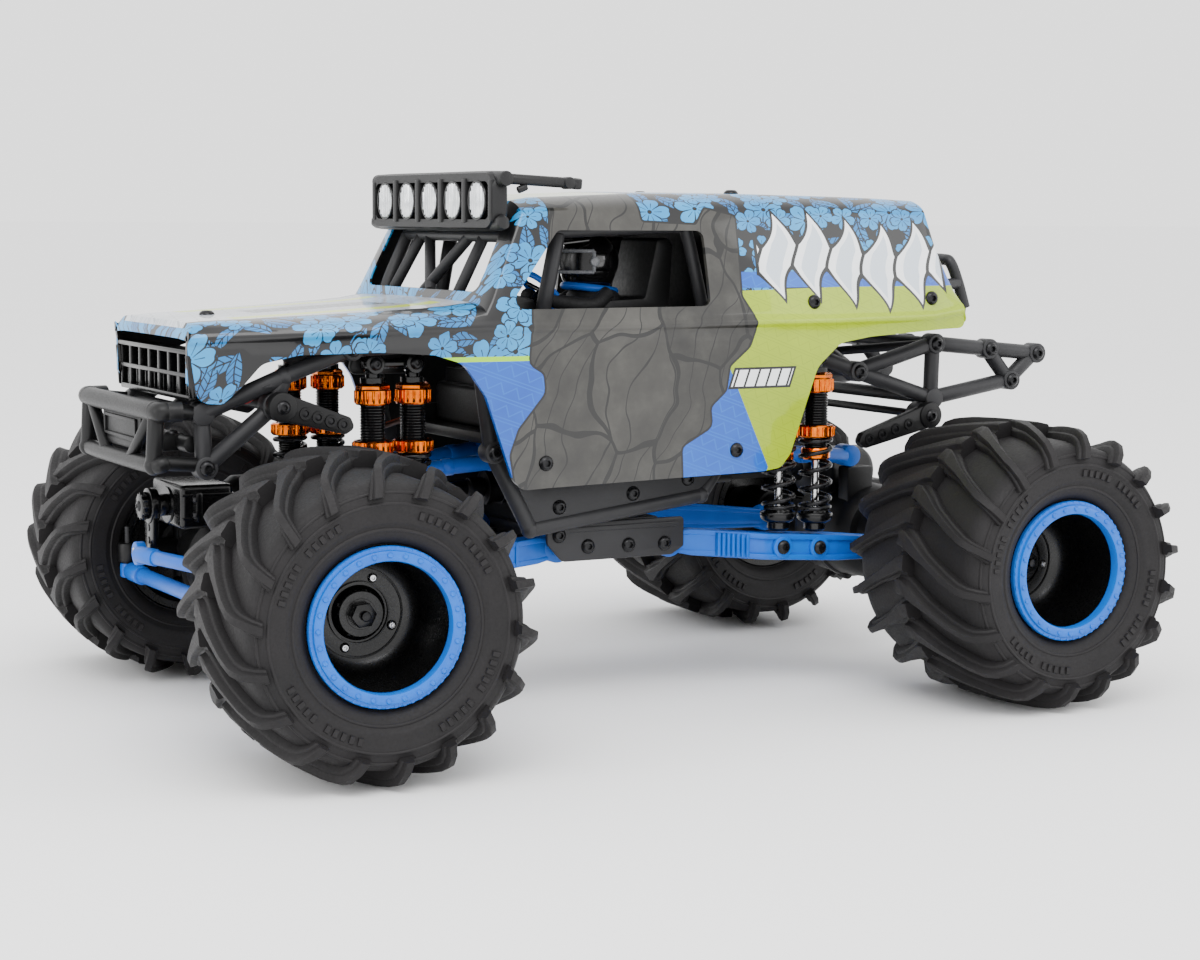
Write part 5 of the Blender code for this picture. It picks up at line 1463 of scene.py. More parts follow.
# ================= sway bars =================
for word, bx, bz, ex, ez, y, body in (("front", 95.4, 78.8, 79.4, 74.0, 33.2, "sway_front"), ("rear", -89.3, 70.6, -68.2, 64.6, 33.4, "sway_rear")):
    g = Geo()
    cyl(g, (bx, -y + 1, bz), (bx, y - 1, bz), 1.1, 16)
    L = math.hypot(ex - bx, ez - bz)
    ux, uz = (ex - bx) / L, (ez - bz) / L
    for sy in (1, -1):
        lo = (y - 1.3) if sy > 0 else -(y + 1.3)
        outl = [(-2.0, -3.4), (2.4, -3.1), (L + 0.4, -2.1), (L + 2.2, 0), (L + 0.4, 2.1), (2.4, 3.1), (-2.0, 3.4), (-3.4, 0)]
        outl = round_poly(outl, 1.3, 4)
        slab(g, outl, lambda u, v, w, lo=lo: (bx + ux * u - uz * v, lo + w, bz + uz * u + ux * v), 2.6, 0, 0.35)
        # stiffening rims round the row of holes
        n = 4
        for k in range(n):
            u = L * (0.34 + 0.2 * k)
            c = (bx + ux * u, sy * (y + 1.25), bz + uz * u)
            lathe(g, c, (0, sy, 0), [(0.0, 0.85), (0.0, 1.55), (0.35, 1.45), (0.35, 0.85)], 20, 0, closed=True)
            cyl(g, (c[0], c[1] - sy * 0.1, c[2]), (c[0], c[1] + sy * 0.06, c[2]), 0.85, 16, 1)
        cyl(g, (bx, sy * (y - 1.7), bz), (bx, sy * (y + 1.7), bz), 3.5, 28, 0)
        button_screw(g, (bx, sy * (y + 1.65), bz), (0, sy, 0), 1.7, 0.9, 1)
    make("vis_sway_" + word, g, ["nylon_black", "steel_dark"], body, ["sway_bar_" + word], angle=40)
# ================= axles =================
def axle_geo(end):
    g = Geo()
    x = BASE * end
    inner = 43.3 if end > 0 else 46.0
    # gear case: a drum with a cover flange and ribs
    lathe(g, (x, -15, R), (0, 1, 0), [(0, 0), (0, 11.4), (1.4, 12.6), (3.0, 13.3), (11.0, 13.5), (11.6, 14.1), (13.4, 14.1), (14.0, 13.5), (22.0, 13.2), (24.4, 12.2), (26, 10.6), (26, 0)], 48)
    for k in range(8):
        a = math.pi / 4 * k + 0.2
        cyl(g, (x + 13.6 * math.cos(a), -4.6, R + 13.6 * math.sin(a)), (x + 13.6 * math.cos(a), -0.6, R + 13.6 * math.sin(a)), 1.4, 14)
    # tubes, tapered from the case
    for sy in (1, -1):
        y0 = 9.0 if sy > 0 else -13.0
        lathe(g, (x, y0, R), (0, sy, 0), [(0, 0), (0, 9.4), (3.5, 7.6), (7.0, 6.0), (10.0, 5.3), (inner - abs(y0), 5.3), (inner - abs(y0), 0)], 32)
        for z in (1, -1):
            rib = [(0, 0), (0, 8.8), (12, 5.8), (26, 5.3), (26, 0)]
            slab(g, rib, lambda u, v, w, sy=sy, y0=y0, z=z: (x - 0.9 + w, y0 + sy * u, R + z * v), 1.8, 0, 0.2)
    # pinion housing towards the middle of the truck
    lathe(g, (x - 15 * end, -6, 52.0), (end, 0, 0), [(0, 0), (0, 5.0), (1.0, 6.8), (4.0, 7.0), (4.6, 7.4), (6.0, 7.4), (6.6, 7.0), (18.0, 7.0), (20.0, 5.6), (20, 0)], 36)
    rbox(g, (min(x - 7, x + 7), -14, 38), (max(x - 7, x + 7), 2, 50), 1.2)
    arm_y = 27.0 if end > 0 else 35.0
    for sy in (1, -1):
        lo, hi = sorted((sy * (arm_y - 7.2), sy * (arm_y - 3.8)))
        rbox(g, (min(x - 8.2 * end, x + 2 * end), lo, 31.5), (max(x - 8.2 * end, x + 2 * end), hi, 40), 0.8)
        cyl(g, (x - 10.5 * end, sy * (arm_y - 5.5), 35.7), (x - 6.5 * end, sy * (arm_y - 5.5), 35.7), 1.6, 16)
    rbox(g, (min(x - 9.5 * end, x - 1 * end), 3.0, 44), (max(x - 9.5 * end, x - 1 * end), 8.0, 54.5), 0.8)
    if end > 0:
        for sy in (1, -1):
            lo, hi = sorted((sy * 43.0, sy * 44.5))
            yoke = round_poly([(-3.4, 26.0), (3.4, 26.0), (4.6, 31), (4.6, 41), (3.4, 46.0), (-3.4, 46.0), (-4.6, 41), (-4.6, 31)], 1.2, 3)
            slab(g, yoke, lambda u, v, w, lo=lo: (x + u, lo + w, v), 1.5, 0, 0.3)
            for z0, z1 in ((44.9, 47.6), (24.4, 27.1)):
                cyl(g, (x, sy * KPY, z0), (x, sy * KPY, z1), 3.6, 28)
                rbox(g, (x - 3.3, min(sy * 43.2, sy * KPY), z0 + 0.05), (x + 3.3, max(sy * 43.2, sy * KPY), z1 - 0.05), 0.5)
            button_screw(g, (x, sy * KPY, 47.5), (0, 0, 1), 1.8, 1.0, 1)
            button_screw(g, (x, sy * KPY, 24.5), (0, 0, -1), 1.8, 1.0, 1)
    else:
        for sy in (1, -1):
            lathe(g, (x, sy * 44.5, R), (0, sy, 0), [(0, 0), (0, 6.2), (1.0, 6.6), (12.0, 6.6), (13.0, 6.2), (18.0, 5.6), (18, 0)], 32)
    return g


make("vis_axle_front", axle_geo(1), ["nylon_black", "steel_dark"], "axle_front", ["axle_front"], angle=40)
make("vis_axle_rear", axle_geo(-1), ["nylon_black", "steel_dark"], "axle_rear", ["axle_rear"], angle=40)

# knuckles
for tag, sy in (("l", 1), ("r", -1)):
    kp = np.array((BASE, KPY * sy, R))
    out = np.array((-math.sin(STEER), math.cos(STEER), 0.0)) * sy
    fwd = np.array((math.cos(STEER), math.sin(STEER), 0.0))
    arm_end = kp + fwd * 17.5 - out * 9.8
    g = Geo()
    lathe(g, kp + out * 1.0, out, [(0, 0), (0, 5.4), (1.0, 6.4), (8.5, 6.4), (9.2, 6.0), (11.8, 6.0), (11.8, 0)], 36)
    cyl(g, kp - (0, 0, 8.4), kp + (0, 0, 8.4), 3.6, 28)
    mid = kp + fwd * 9 - out * 2.5
    tube(g, smooth_path([kp + fwd * 1, mid, arm_end], 6), 2.3, 16)
    cyl(g, arm_end - (0, 0, 2.4), arm_end + (0, 0, 2.4), 2.7, 24)
    cyl(g, arm_end - (0, 0, 6.4), arm_end + (0, 0, 6.8), 1.1, 14, 1)
    make("vis_knuckle_" + tag, g, ["nylon_black", "steel_dark"], "knuckle_" + tag, ["knuckle_" + tag], angle=40)

# ================= lower arms =================
ARM_Z, DROP, AEX = 40.2, 4.6, 80.0
SHX = {1: (59.5, 70.0), -1: (-40.5, -51.8)}
SHY = {1: 27.5, -1: 35.5}
AY = {1: (23.5, 27.0), -1: (26.4, 35.0)}
PIV = {1: 19.0, -1: -12.0}


def arm_z(x, end):
    return ARM_Z - DROP * (x - PIV[end]) / (AEX * end - PIV[end])


def arm_geo(end):
    """Moulded arm: an I section with flanges above and below, wide where the shocks stand. Built for the left side."""
    g = Geo()
    x0, x1 = PIV[end], AEX * end
    yc, ye = AY[end]
    ys = SHY[end]
    near = min(abs(v) for v in SHX[end]) - 5.5
    far = max(abs(v) for v in SHX[end]) + 6.0
    plan = [(x0, yc - 2.4), (x0, yc + 2.4), (x0 + 5.5 * end, yc + 2.6), (near * end, ys + 2.4), (far * end, ys + 2.8), (x1, ye + 1.5),
            (x1, ye - 2.8), (far * end, ys - 4.4), (near * end, ys - 4.4), (x0 + 5.5 * end, yc - 2.6)]
    plan = round_poly(plan, [0.6, 0.6, 3, 5, 4, 0.8, 0.8, 4, 5, 3], 4)
    web = [(x, (y - (yc + ye) / 2) * 0.9 + (yc + ye) / 2) for x, y in plan]

    def taper(x):
        t = min(abs(x - x0), abs(x - x1))
        return 0.72 + 0.28 * min(t / 6.0, 1.0)

    for lo, hi, outl in ((-3.4, -1.9, plan), (-2.1, 2.1, web), (1.9, 3.4, plan)):
        slab(g, outl, lambda u, v, w, lo=lo: (u, v, arm_z(u, end) + (lo + w) * taper(u)), hi - lo, 0, 0.35)
    cyl(g, (x0, yc - 2.6, ARM_Z), (x0, yc + 2.6, ARM_Z), 3.9, 32, cham=0.5)
    cyl(g, (x1, ye - 2.9, arm_z(x1, end)), (x1, ye + 1.6, arm_z(x1, end)), 3.6, 32, cham=0.5)
    # upright ribs on the outer face
    n = 7
    for k in range(n):
        x = x0 + 12 * end + (near - abs(x0) - 16) * end * k / (n - 1)
        t = (x - x0) / (near * end - x0)
        yo = yc + 2.5 + (ys - yc) * t
        z = arm_z(x, end)
        rbox(g, (x - 0.45, yo - 1.6, z - 3.0), (x + 0.45, yo - 0.15, z + 3.0), 0.15)
    for x in SHX[end]:
        cyl(g, (x, ys + 1.6, arm_z(x, end)), (x, ys + 2.9, arm_z(x, end)), 2.9, 24, cham=0.3)
        button_screw(g, (x, ys + 2.85, arm_z(x, end)), (0, 1, 0), 1.9, 1.0, 1)
    return g


for end, word in ((1, "f"), (-1, "r")):
    g = arm_geo(end)
    make(f"vis_arm_{word}l", g, ["blue_nylon", "steel_dark"], f"arm_{word}l", [f"lower_arm_{word}l"], angle=40)
    make(f"vis_arm_{word}r", g.mirrored(), ["blue_nylon", "steel_dark"], f"arm_{word}r", [f"lower_arm_{word}r"], angle=40)

# ================= upper links =================
for end, word in ((1, "front"), (-1, "rear")):
    q0 = (PIV[end] + 2 * end, 0, ARM_Z + 22.0)
    q1 = (q0[0] + (AEX * end - PIV[end]), 0, q0[2] - DROP)
    g = Geo()
    for sy, ey in ((1, 7.0), (-1, 6.0)):
        cyl(g, (q0[0], 15.0 * sy, q0[2]), (q1[0] - 1.5 * end, ey, q1[2]), 2.0, 20)
        a, b = np.array((q0[0], 15.0 * sy, q0[2])), np.array((q1[0] - 1.5 * end, ey, q1[2]))
        for k in range(4):
            c = a + (b - a) * (0.15 + 0.2 * k)
            d = a + (b - a) * (0.15 + 0.2 * k + 0.05)
            cyl(g, c, d, 2.25, 20)
    cyl(g, (q1[0], 2.6, q1[2]), (q1[0], 8.4, q1[2]), 3.0, 28)
    cyl(g, (q0[0], 12.4, q0[2]), (q0[0], 17.6, q0[2]), 2.8, 28)
    cyl(g, (q0[0], -17.6, q0[2]), (q0[0], -12.4, q0[2]), 2.8, 28)
    make("vis_upper_link_" + word, g, ["blue_nylon"], "upper_" + word, ["upper_link_" + word], angle=40)

# ================= shocks =================
TOPZ = 88.0


def knurl(g, c, z0, z1, r, mat, n=20):
    """A grooved collar: flats all round with small chamfers."""
    lathe(g, (c[0], c[1], z0), (0, 0, 1), [(0, r * 0.78), (0, r * 0.93), (0.35, r), (z1 - z0 - 0.35, r), (z1 - z0, r * 0.93), (z1 - z0, r * 0.78)], n, mat, closed=True)
    for k in range(n):
        a = 2 * math.pi * (k + 0.5) / n
        u = np.array((math.cos(a), math.sin(a), 0))
        p = np.array((c[0], c[1], 0)) + u * (r - 0.12)
        cyl(g, p + (0, 0, z0 + 0.45), p + (0, 0, z1 - 0.45), 0.34, 8, mat, cham=0.08)


def shock_body_geo(end, sy):
    g = Geo()
    y = SHY[end] * sy
    for x in SHX[end]:
        # threaded body
        prof = [(0.0, 1.62), (0.0, 2.8), (0.3, 3.05)]
        z = 0.5
        while z < 5.4:
            prof += [(z, 3.1), (z + 0.25, 2.86), (z + 0.5, 3.1)]
            z += 0.62
        zz = 9.0
        prof += [(zz - 0.1, 3.05)]
        while zz < 17.0:
            prof += [(zz, 3.1), (zz + 0.28, 2.8), (zz + 0.56, 3.1)]
            zz += 0.7
        prof += [(17.9, 3.0), (24.0, 3.0), (24.0, 0.0)]
        lathe(g, (x, y, 60.6), (0, 0, 1), prof, 32, 0)
        lathe(g, (x, y, 60.55), (0, 0, 1), [(0, 1.62), (0.05, 3.5), (0.5, 3.85), (2.6, 3.85), (3.1, 3.5), (3.1, 2.6)], 12, 1) if end < 0 else None
        # adjusting collar and cap
        knurl(g, (x, y), 66.4, 69.6, 4.85, 1)
        knurl(g, (x, y), 78.2, 82.0, 4.3, 1, 18)
        lathe(g, (x, y, 81.8), (0, 0, 1), [(0, 4.1), (0.9, 4.1), (1.5, 3.6), (1.9, 2.4), (1.9, 0)], 6, 1)
        # top eye
        cyl(g, (x, y, 83.2), (x, y, 86.6), 1.7, 18, 0)
        cyl(g, (x, y - 2.2, TOPZ), (x, y + 2.2, TOPZ), 2.5, 24, 0)
        button_screw(g, (x, y + sy * 2.2, TOPZ), (0, sy, 0), 1.6, 0.8, 2)
    cyl(g, (min(SHX[end]) - 1, y, TOPZ), (max(SHX[end]) + 1, y, TOPZ), 1.2, 14, 0)
    return g


for end, word in ((1, "f"), (-1, "r")):
    for sy, tag in ((1, "l"), (-1, "r")):
        make(f"vis_shock_body_{word}{tag}", shock_body_geo(end, sy), ["nylon_gloss", "amber", "steel_dark"], "chassis", [f"shock_body_{word}{tag}"], angle=35)
        y = SHY[end] * sy
        for k, x in enumerate(SHX[end]):
            low = arm_z(x, end) + 4.3
            body = f"shock_shaft_{word}{tag}{k + 1}"
            g = Geo()
            cyl(g, (x, y, low + 3.0), (x, y, 61.6), 1.0, 20, 1)
            lathe(g, (x, y, low + 2.0), (0, 0, 1), [(0, 0), (0, 3.2), (0.6, 4.2), (1.2, 4.7), (2.4, 4.8), (2.8, 4.6), (3.2, 3.4), (3.4, 3.0), (3.4, 0)], 32, 0)
            lathe(g, (x, y, low - 0.1), (0, 0, 1), [(0, 0), (0, 2.3), (0.6, 2.9), (2.4, 2.9), (3.0, 2.2), (3.0, 0)], 24, 0)
            make(f"vis_shaft_{word}{tag}{k + 1}", g, ["nylon_gloss", "steel"], body, [f"shock_shaft_{word}{tag}{k + 1}"], angle=40)
            # the coil spring, closed at both ends, fixed in place between the shaft below and the body above
            g = Geo()
            z0, z1 = low + 5.9, 65.9
            turns, rad, wire = 5.6, 3.95, 0.62
            pts, n = [], int(turns * 22)
            for i in range(n + 1):
                t = i / n
                a = 2 * math.pi * turns * t + 0.6 * k
                # flat end turns, open middle
                s = t
                e = 0.9 / turns
                if t < e:
                    zz = wire * 1.25 * (t / e)
                elif t > 1 - e:
                    zz = (z1 - z0) - wire * 1.25 * ((1 - t) / e)
                else:
                    zz = wire * 1.25 + ((z1 - z0) - 2.5 * wire) * (t - e) / (1 - 2 * e)
                pts.append((x + rad * math.cos(a), y + rad * math.sin(a), z0 + zz))
            tube(g, pts, wire, 10)
            obj = make(f"vis_spring_{word}{tag}{k + 1}", g, ["spring_steel"], None, (), angle=60)
            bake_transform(obj)
            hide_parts(f"spring_{word}{tag}{k + 1}")

# ================= steering =================
ENDS = {}
for tag, sy in (("l", 1), ("r", -1)):
    kp = np.array((BASE, KPY * sy, R))
    out = np.array((-math.sin(STEER), math.cos(STEER), 0.0)) * sy
    fwd = np.array((math.cos(STEER), math.sin(STEER), 0.0))
    ENDS[tag] = kp + fwd * 17.5 - out * 9.8
lift = np.array((0, 0, -4.7))
lp, rp = ENDS["l"] + lift, ENDS["r"] + lift
g = Geo()
cyl(g, lp + (0, -1.0, 0), rp + (0, 1.0, 0), 1.9, 24)
for p in (lp, rp):
    cyl(g, p - (0, 0, 1.9), p + (0, 0, 1.9), 2.2, 28, cham=0.5)
    cyl(g, p + (0, 0, 1.85), p + (0, 0, 2.15), 1.9, 20, 1)
for s in (1, -1):
    c = lp if s > 0 else rp
    cyl(g, c + (0, -s * 3.0, 0), c + (0, -s * 12.0, 0), 2.4, 24)
make("vis_tie_rod", g, ["blue_nylon", "steel_dark"], "tie_rod", ["tie_rod"], angle=40)

HORN = np.array((114.6, -2.0, 53.0))
REACH = 11.5
knee = ENDS["l"] + np.array((0, 0, 4.7))
eye = HORN + np.array((3.0, 0, -REACH))
g = Geo()
cyl(g, eye, eye + (2.4, 0, 0), 2.9, 28, cham=0.4)
a, b = eye + (2.0, 0.8, 0), knee
cyl(g, a, b, 1.75, 22)
v = (b - a) / np.linalg.norm(b - a)
cyl(g, b - v * 11, b - v * 2.6, 2.2, 22)
cyl(g, a + v * 0.5, a + v * 8.0, 2.1, 22)
cyl(g, knee - (0, 0, 1.8), knee + (0, 0, 1.8), 2.6, 28, cham=0.6)
cyl(g, knee + (0, 0, 1.75), knee + (0, 0, 2.1), 1.7, 20, 1)
cyl(g, eye + (2.35, 0, 0), eye + (2.7, 0, 0), 1.5, 20, 1)
make("vis_drag_link", g, ["blue_nylon", "steel"], "drag_link", ["drag_link"], angle=40)

g = Geo()
cyl(g, HORN, HORN + (2.2, 0, 0), 4.4, 32)
cyl(g, HORN + (2.1, 0, 0), HORN + (4.2, 0, 0), 3.1, 28, cham=0.5)
for k in range(12):
    a = 2 * math.pi * k / 12
    p = HORN + (0, 3.0 * math.cos(a), 3.0 * math.sin(a))
    cyl(g, p + (2.2, 0, 0), p + (4.0, 0, 0), 0.4, 8)
horn = round_poly([(-3.6, 0.6), (-3.0, -10.0), (-1.8, -REACH - 2.2), (1.8, -REACH - 2.2), (3.0, -10.0), (3.6, 0.6)], [1, 1, 1.6, 1.6, 1, 1], 4)
slab(g, horn, lambda u, v, w: (HORN[0] + 0.2 + w, HORN[1] + u, HORN[2] + v), 1.6, 0, 0.3)
for z in (-5.4, -8.4):
    cyl(g, HORN + (1.75, 0, z), HORN + (2.0, 0, z), 0.9, 16, 1)
button_screw(g, HORN + (4.1, 0, 0), (1, 0, 0), 1.4, 0.6, 1)
make("vis_servo_horn", g, ["nylon_gloss", "steel_dark"], "horn", ["servo_horn"], angle=40)

g = Geo()
rbox(g, (98.5, -14.0, 48.0), (111.6, 8.5, 58.6), 1.2, 0, 3)
for z in (50.6, 56.2):
    rbox(g, (98.2, -14.2, z - 0.3), (111.3, 8.7, z + 0.3), 0.15, 0, 2)
rbox(g, (107.0, -16.6, 50.0), (108.6, 11.0, 57.0), 0.5)
cyl(g, (111.4, -2.0, 53.0), (114.2, -2.0, 53.0), 2.7, 28)
lathe(g, (111.2, -2.0, 53.0), (1, 0, 0), [(0, 4.6), (0.8, 4.4), (0.8, 0)], 28)
for y, z in ((-15.4, 51.6), (-15.4, 55.4), (9.8, 51.6), (9.8, 55.4)):
    button_screw(g, (108.55, y, z), (1, 0, 0), 1.0, 0.7, 1)
make("vis_servo", g, ["nylon_gloss", "steel_dark"], "axle_front", ["steering_servo"], angle=40)
# ================= light bar =================
g = Geo()
# rounded frame seen from the front as a long slot, open in the middle for the lamps
X0, X1 = 38.6, 42.6
ring_out = round_poly([(-37.0, 120.0), (37.0, 120.0), (37.0, 134.0), (-37.0, 134.0)], 4.4, 8)
ring_in = round_poly([(-34.6, 122.4), (34.6, 122.4), (34.6, 131.6), (-34.6, 131.6)], 2.4, 8)
n = len(ring_out)
rows = []
for x, outl, k in ((X0, ring_out, 0), (X0 + 0.5, ring_out, 1), (X1 - 0.9, ring_out, 1), (X1, ring_out, 0), (X1, ring_in, 0), (X0, ring_in, 0)):
    cy, cz = 0.0, 127.0
    pts = []
    for y, z in outl:
        if outl is ring_out and not k:
            y, z = y * 0.988, cz + (z - cz) * 0.94
        pts.append((x, y, z))
    rows.append(pts)
allp = [p for r in rows for p in r]
faces = []
for i in range(len(rows)):
    j = (i + 1) % len(rows)
    for k in range(n):
        k2 = (k + 1) % n
        faces.append([i * n + k, i * n + k2, j * n + k2, j * n + k])
g.put(allp, faces, 0)
rbox(g, (X0 - 0.2, -35.2, 121.8), (X0 + 1.4, 35.2, 132.2), 0.4)
tube(g, smooth_path([(40.2, -37.0, 131.4), (40.2, -35.6, 132.5), (40.2, 0, 132.6), (40.2, 35.6, 132.5), (40.2, 37.0, 131.4)], 6), 1.55, 16)
tube(g, smooth_path([(40.6, -37.0, 122.4), (40.6, -35.6, 121.2), (40.6, 0, 121.0), (40.6, 35.6, 121.2), (40.6, 37.0, 122.4)], 6), 1.55, 16)
for k in range(4):
    y = -21.0 + 14.0 * k
    rbox(g, (X0 + 0.6, y - 1.15, 121.6), (X1 + 0.5, y + 1.15, 132.4), 0.5)
for y in (-35.4, 35.4):
    rbox(g, (X0 + 0.6, y - 1.0, 122.0), (X1 + 0.3, y + 1.0, 132.0), 0.5)
for sy in (1, -1):
    cyl(g, (39.8, 37.4 * sy, 132.2), (20.9, 38.6 * sy, 131.2), 1.3, 16)
    cyl(g, (39.9, 36.4 * sy, 132.2), (39.9, 39.2 * sy, 132.2), 1.85, 20)
    cyl(g, (20.9, 38.6 * sy, 132.4), (20.9, 38.2 * sy, 129.9), 1.5, 16)
    cyl(g, (23.2, 36.4 * sy, 131.3), (23.2, 40.0 * sy, 131.3), 1.5, 18)
    cyl(g, (34.0, 37.9 * sy, 130.4), (36.4, 37.6 * sy, 129.4), 0.9, 12)
    button_screw(g, (42.7, sy * 34.8, 121.0), (1, 0, 0), 1.3, 0.7, 1) if False else None
make("vis_lightbar", g, ["nylon_mid", "steel_dark"], "chassis", ["light_bar"], angle=40)

m, nt, b = nodes_of("lens")
vec = coords(nt)
nz = noise(nt, 300.0, 2.0, 0.5, vec)
cl = ramp(nt, nz.outputs["Fac"], [(0.3, srgb(196, 200, 204)), (0.7, srgb(236, 238, 240))])
nt.links.new(cl.outputs["Color"], b.inputs["Base Color"])
b.inputs["Metallic"].default_value = 0.55
b.inputs["Roughness"].default_value = 0.16
b.inputs["Coat Weight"].default_value = 1.0
b.inputs["Coat Roughness"].default_value = 0.02
wv = nt.nodes.new("ShaderNodeTexWave")
wv.bands_direction = "Y"
wv.inputs["Scale"].default_value = 480.0
nt.links.new(vec, wv.inputs["Vector"])
bump(nt, b, wv.outputs["Fac"], 0.5, 0.0002)
MATS["lens"] = m
plastic("chrome_cup", srgb(168, 170, 174), srgb(206, 208, 212), (0.12, 0.2), 900, 0.05, 0.6)
MATS["chrome_cup"].node_tree.nodes["Principled BSDF"].inputs["Metallic"].default_value = 0.9
g = Geo()
for k in range(5):
    c = (0, -28.0 + 14.0 * k, 127.0)
    # bezel, bright cup and the ribbed lens over it
    lathe(g, (40.2, c[1], c[2]), (1, 0, 0), [(0, 5.0), (2.2, 5.0), (2.6, 4.8), (2.6, 4.4), (0, 4.3)], 40, 2, closed=True)
    lathe(g, (40.2, c[1], c[2]), (1, 0, 0), [(0.2, 0), (0.5, 1.4), (1.0, 3.0), (2.0, 4.3), (2.1, 4.5), (1.0, 4.5), (0.0, 4.4), (0, 0)], 40, 1)
    lathe(g, (40.2, c[1], c[2]), (1, 0, 0), [(1.6, 4.45), (2.1, 4.5), (2.5, 4.1), (2.9, 2.8), (3.1, 1.4), (3.15, 0), (2.5, 0), (2.4, 2.0), (1.9, 3.9)], 40, 0) if False else None
    ball(g, (41.1, c[1], c[2]), 1.0, 16, 8, 0)
    for j in range(7):
        y = c[1] - 3.6 + 1.2 * j
        hh = math.sqrt(max(4.3 ** 2 - (y - c[1]) ** 2, 0.1))
        xx = 42.0 + 0.5 * (1 - ((y - c[1]) / 4.3) ** 2)
        cyl(g, (xx, y, c[2] - hh), (xx, y, c[2] + hh), 0.62, 12, 0, cham=0.3)
make("vis_lamps", g, ["lens", "chrome_cup", "nylon_gloss"], "chassis", angle=60)

# ================= inner cage, dash, seat, driver =================
g = Geo()
for sy in (1, -1):
    post = smooth_path([(41.8, 29.2 * sy, 98.8), (41.8, 29.6 * sy, 104.4), (35.2, 30.6 * sy, 118.0)], 6)
    tube(g, post, 1.65, 16)
    tube(g, smooth_path([(35.2, 30.6 * sy, 117.8), (33.4, 30.8 * sy, 118.9), (24.0, 30.8 * sy, 119.4), (-12.0, 31 * sy, 120.9), (-14.6, 31 * sy, 119.6), (-20.2, 31 * sy, 98.2)], 6), 1.65, 16)
    cyl(g, (26.2, 30.4 * sy, 98.1), (22.0, 30.9 * sy, 119.2), 1.9, 18)
    cyl(g, (-20.6, 31.0 * sy, 98.0), (42.0, 29.0 * sy, 98.8), 1.65, 16)
    cyl(g, (-19.2, 31.0 * sy, 98.2), (-112.5, 14.4 * sy, 105.4), 1.6, 16)
hoopp = [(-115.2, 14.2, 98.6), (-112.9, 14.1, 105.4), (-110.9, 13.2, 110.9), (-110.6, 10.2, 111.9), (-110.6, 0, 111.9), (-110.6, -10.2, 111.9), (-110.9, -13.2, 110.9), (-112.9, -14.1, 105.4), (-115.2, -14.2, 98.6)]
tube(g, smooth_path(hoopp, 6), 1.6, 16)
cyl(g, (34.9, -30.6, 118.3), (34.9, 30.6, 118.3), 1.5, 16)
cyl(g, (41.8, -29.4, 98.5), (41.8, 29.4, 98.5), 1.4, 16)
# braces across the open windscreen, in its own plane
for a, b in (((41.6, -1.6, 104.2), (34.6, -17.2, 118.4)), ((34.8, 8.0, 118.4), (41.6, -6.0, 104.0)), ((34.8, 16.0, 118.4), (41.4, 14.4, 104.0)), ((41.6, -26.0, 103.4), (34.8, -21.5, 118.4))):
    cyl(g, a, b, 1.45, 16)
cyl(g, (41.6, -29.2, 103.4), (41.6, 29.2, 103.4), 1.4, 16)
rbox(g, (-18.0, -31.3, 96.9), (20.0, 31.3, 97.9), 0.3)
make("vis_inner_cage", g, ["nylon_grey"], "chassis", ["inner_cage"], angle=45)

g = Geo()
# dash, seats and rear bulkhead: dull black mouldings
slab(g, round_poly([(33.0, 98.0), (40.0, 98.2), (39.4, 101.6), (32.0, 104.0), (27.0, 102.8), (26.4, 99.0)], 0.8, 3), lambda u, v, w: (u, -28.4 + w, v), 56.8, 0, 0.5)
for y0 in (2.0, -22.0):
    slab(g, round_poly([(-14.5, 98.2), (-9.5, 98.2), (-9.0, 102.6), (8.0, 102.2), (8.6, 100.2), (10.0, 98.2), (10.4, 98.0), (11.0, 103.6), (9.0, 104.4), (-8.4, 104.6), (-11.4, 117.0), (-15.0, 117.6), (-16.0, 115.0)], 0.7, 2),
         lambda u, v, w, y0=y0: (u, y0 + w, v), 20.0, 0, 0.6) if False else None
    slab(g, round_poly([(-15.4, 98.2), (10.0, 98.2), (10.6, 101.8), (-8.2, 102.6), (-11.6, 117.4), (-15.2, 118.0), (-16.4, 116.0)], 1.0, 3), lambda u, v, w, y0=y0: (u, y0 + w, v), 19.5, 0, 0.8)
slab(g, round_poly([(-28.5, -28.0), (28.5, -28.0), (28.5, 27.0), (-28.5, 27.0)], 3, 4), lambda u, v, w: (-27.5 - w, u, 98.4 + (v + 28.0) * 0.5), 1.4, 0, 0.4)
make("vis_interior", g, ["liner_black"], "chassis", angle=40)

g = Geo()
# body and arms
lathe(g, (2.0, 12.0, 98.4), (0, 0, 1), [(0, 0), (0, 6.4), (2.0, 7.8), (5.0, 7.6), (6.6, 6.0), (7.4, 3.4), (7.4, 0)], 28, 2)
for i, f in enumerate(range(len(g.v))):
    x, y, z = g.v[f]
    g.v[f] = (2.0 + (x - 2.0) * 0.8, 12.0 + (y - 12.0) * 1.18, z)
for sy in (1, -1):
    tube(g, smooth_path([(2.0, 12 + 8.2 * sy, 104.0), (7.0, 12 + 9.4 * sy, 101.0), (14.0, 12 + 6.6 * sy, 101.6), (17.6, 12 + 5.0 * sy, 102.8)], 6), 1.9, 14, 2)
    ball(g, (18.2, 12 + 4.8 * sy, 103.0), 2.0, 14, 10, 2)
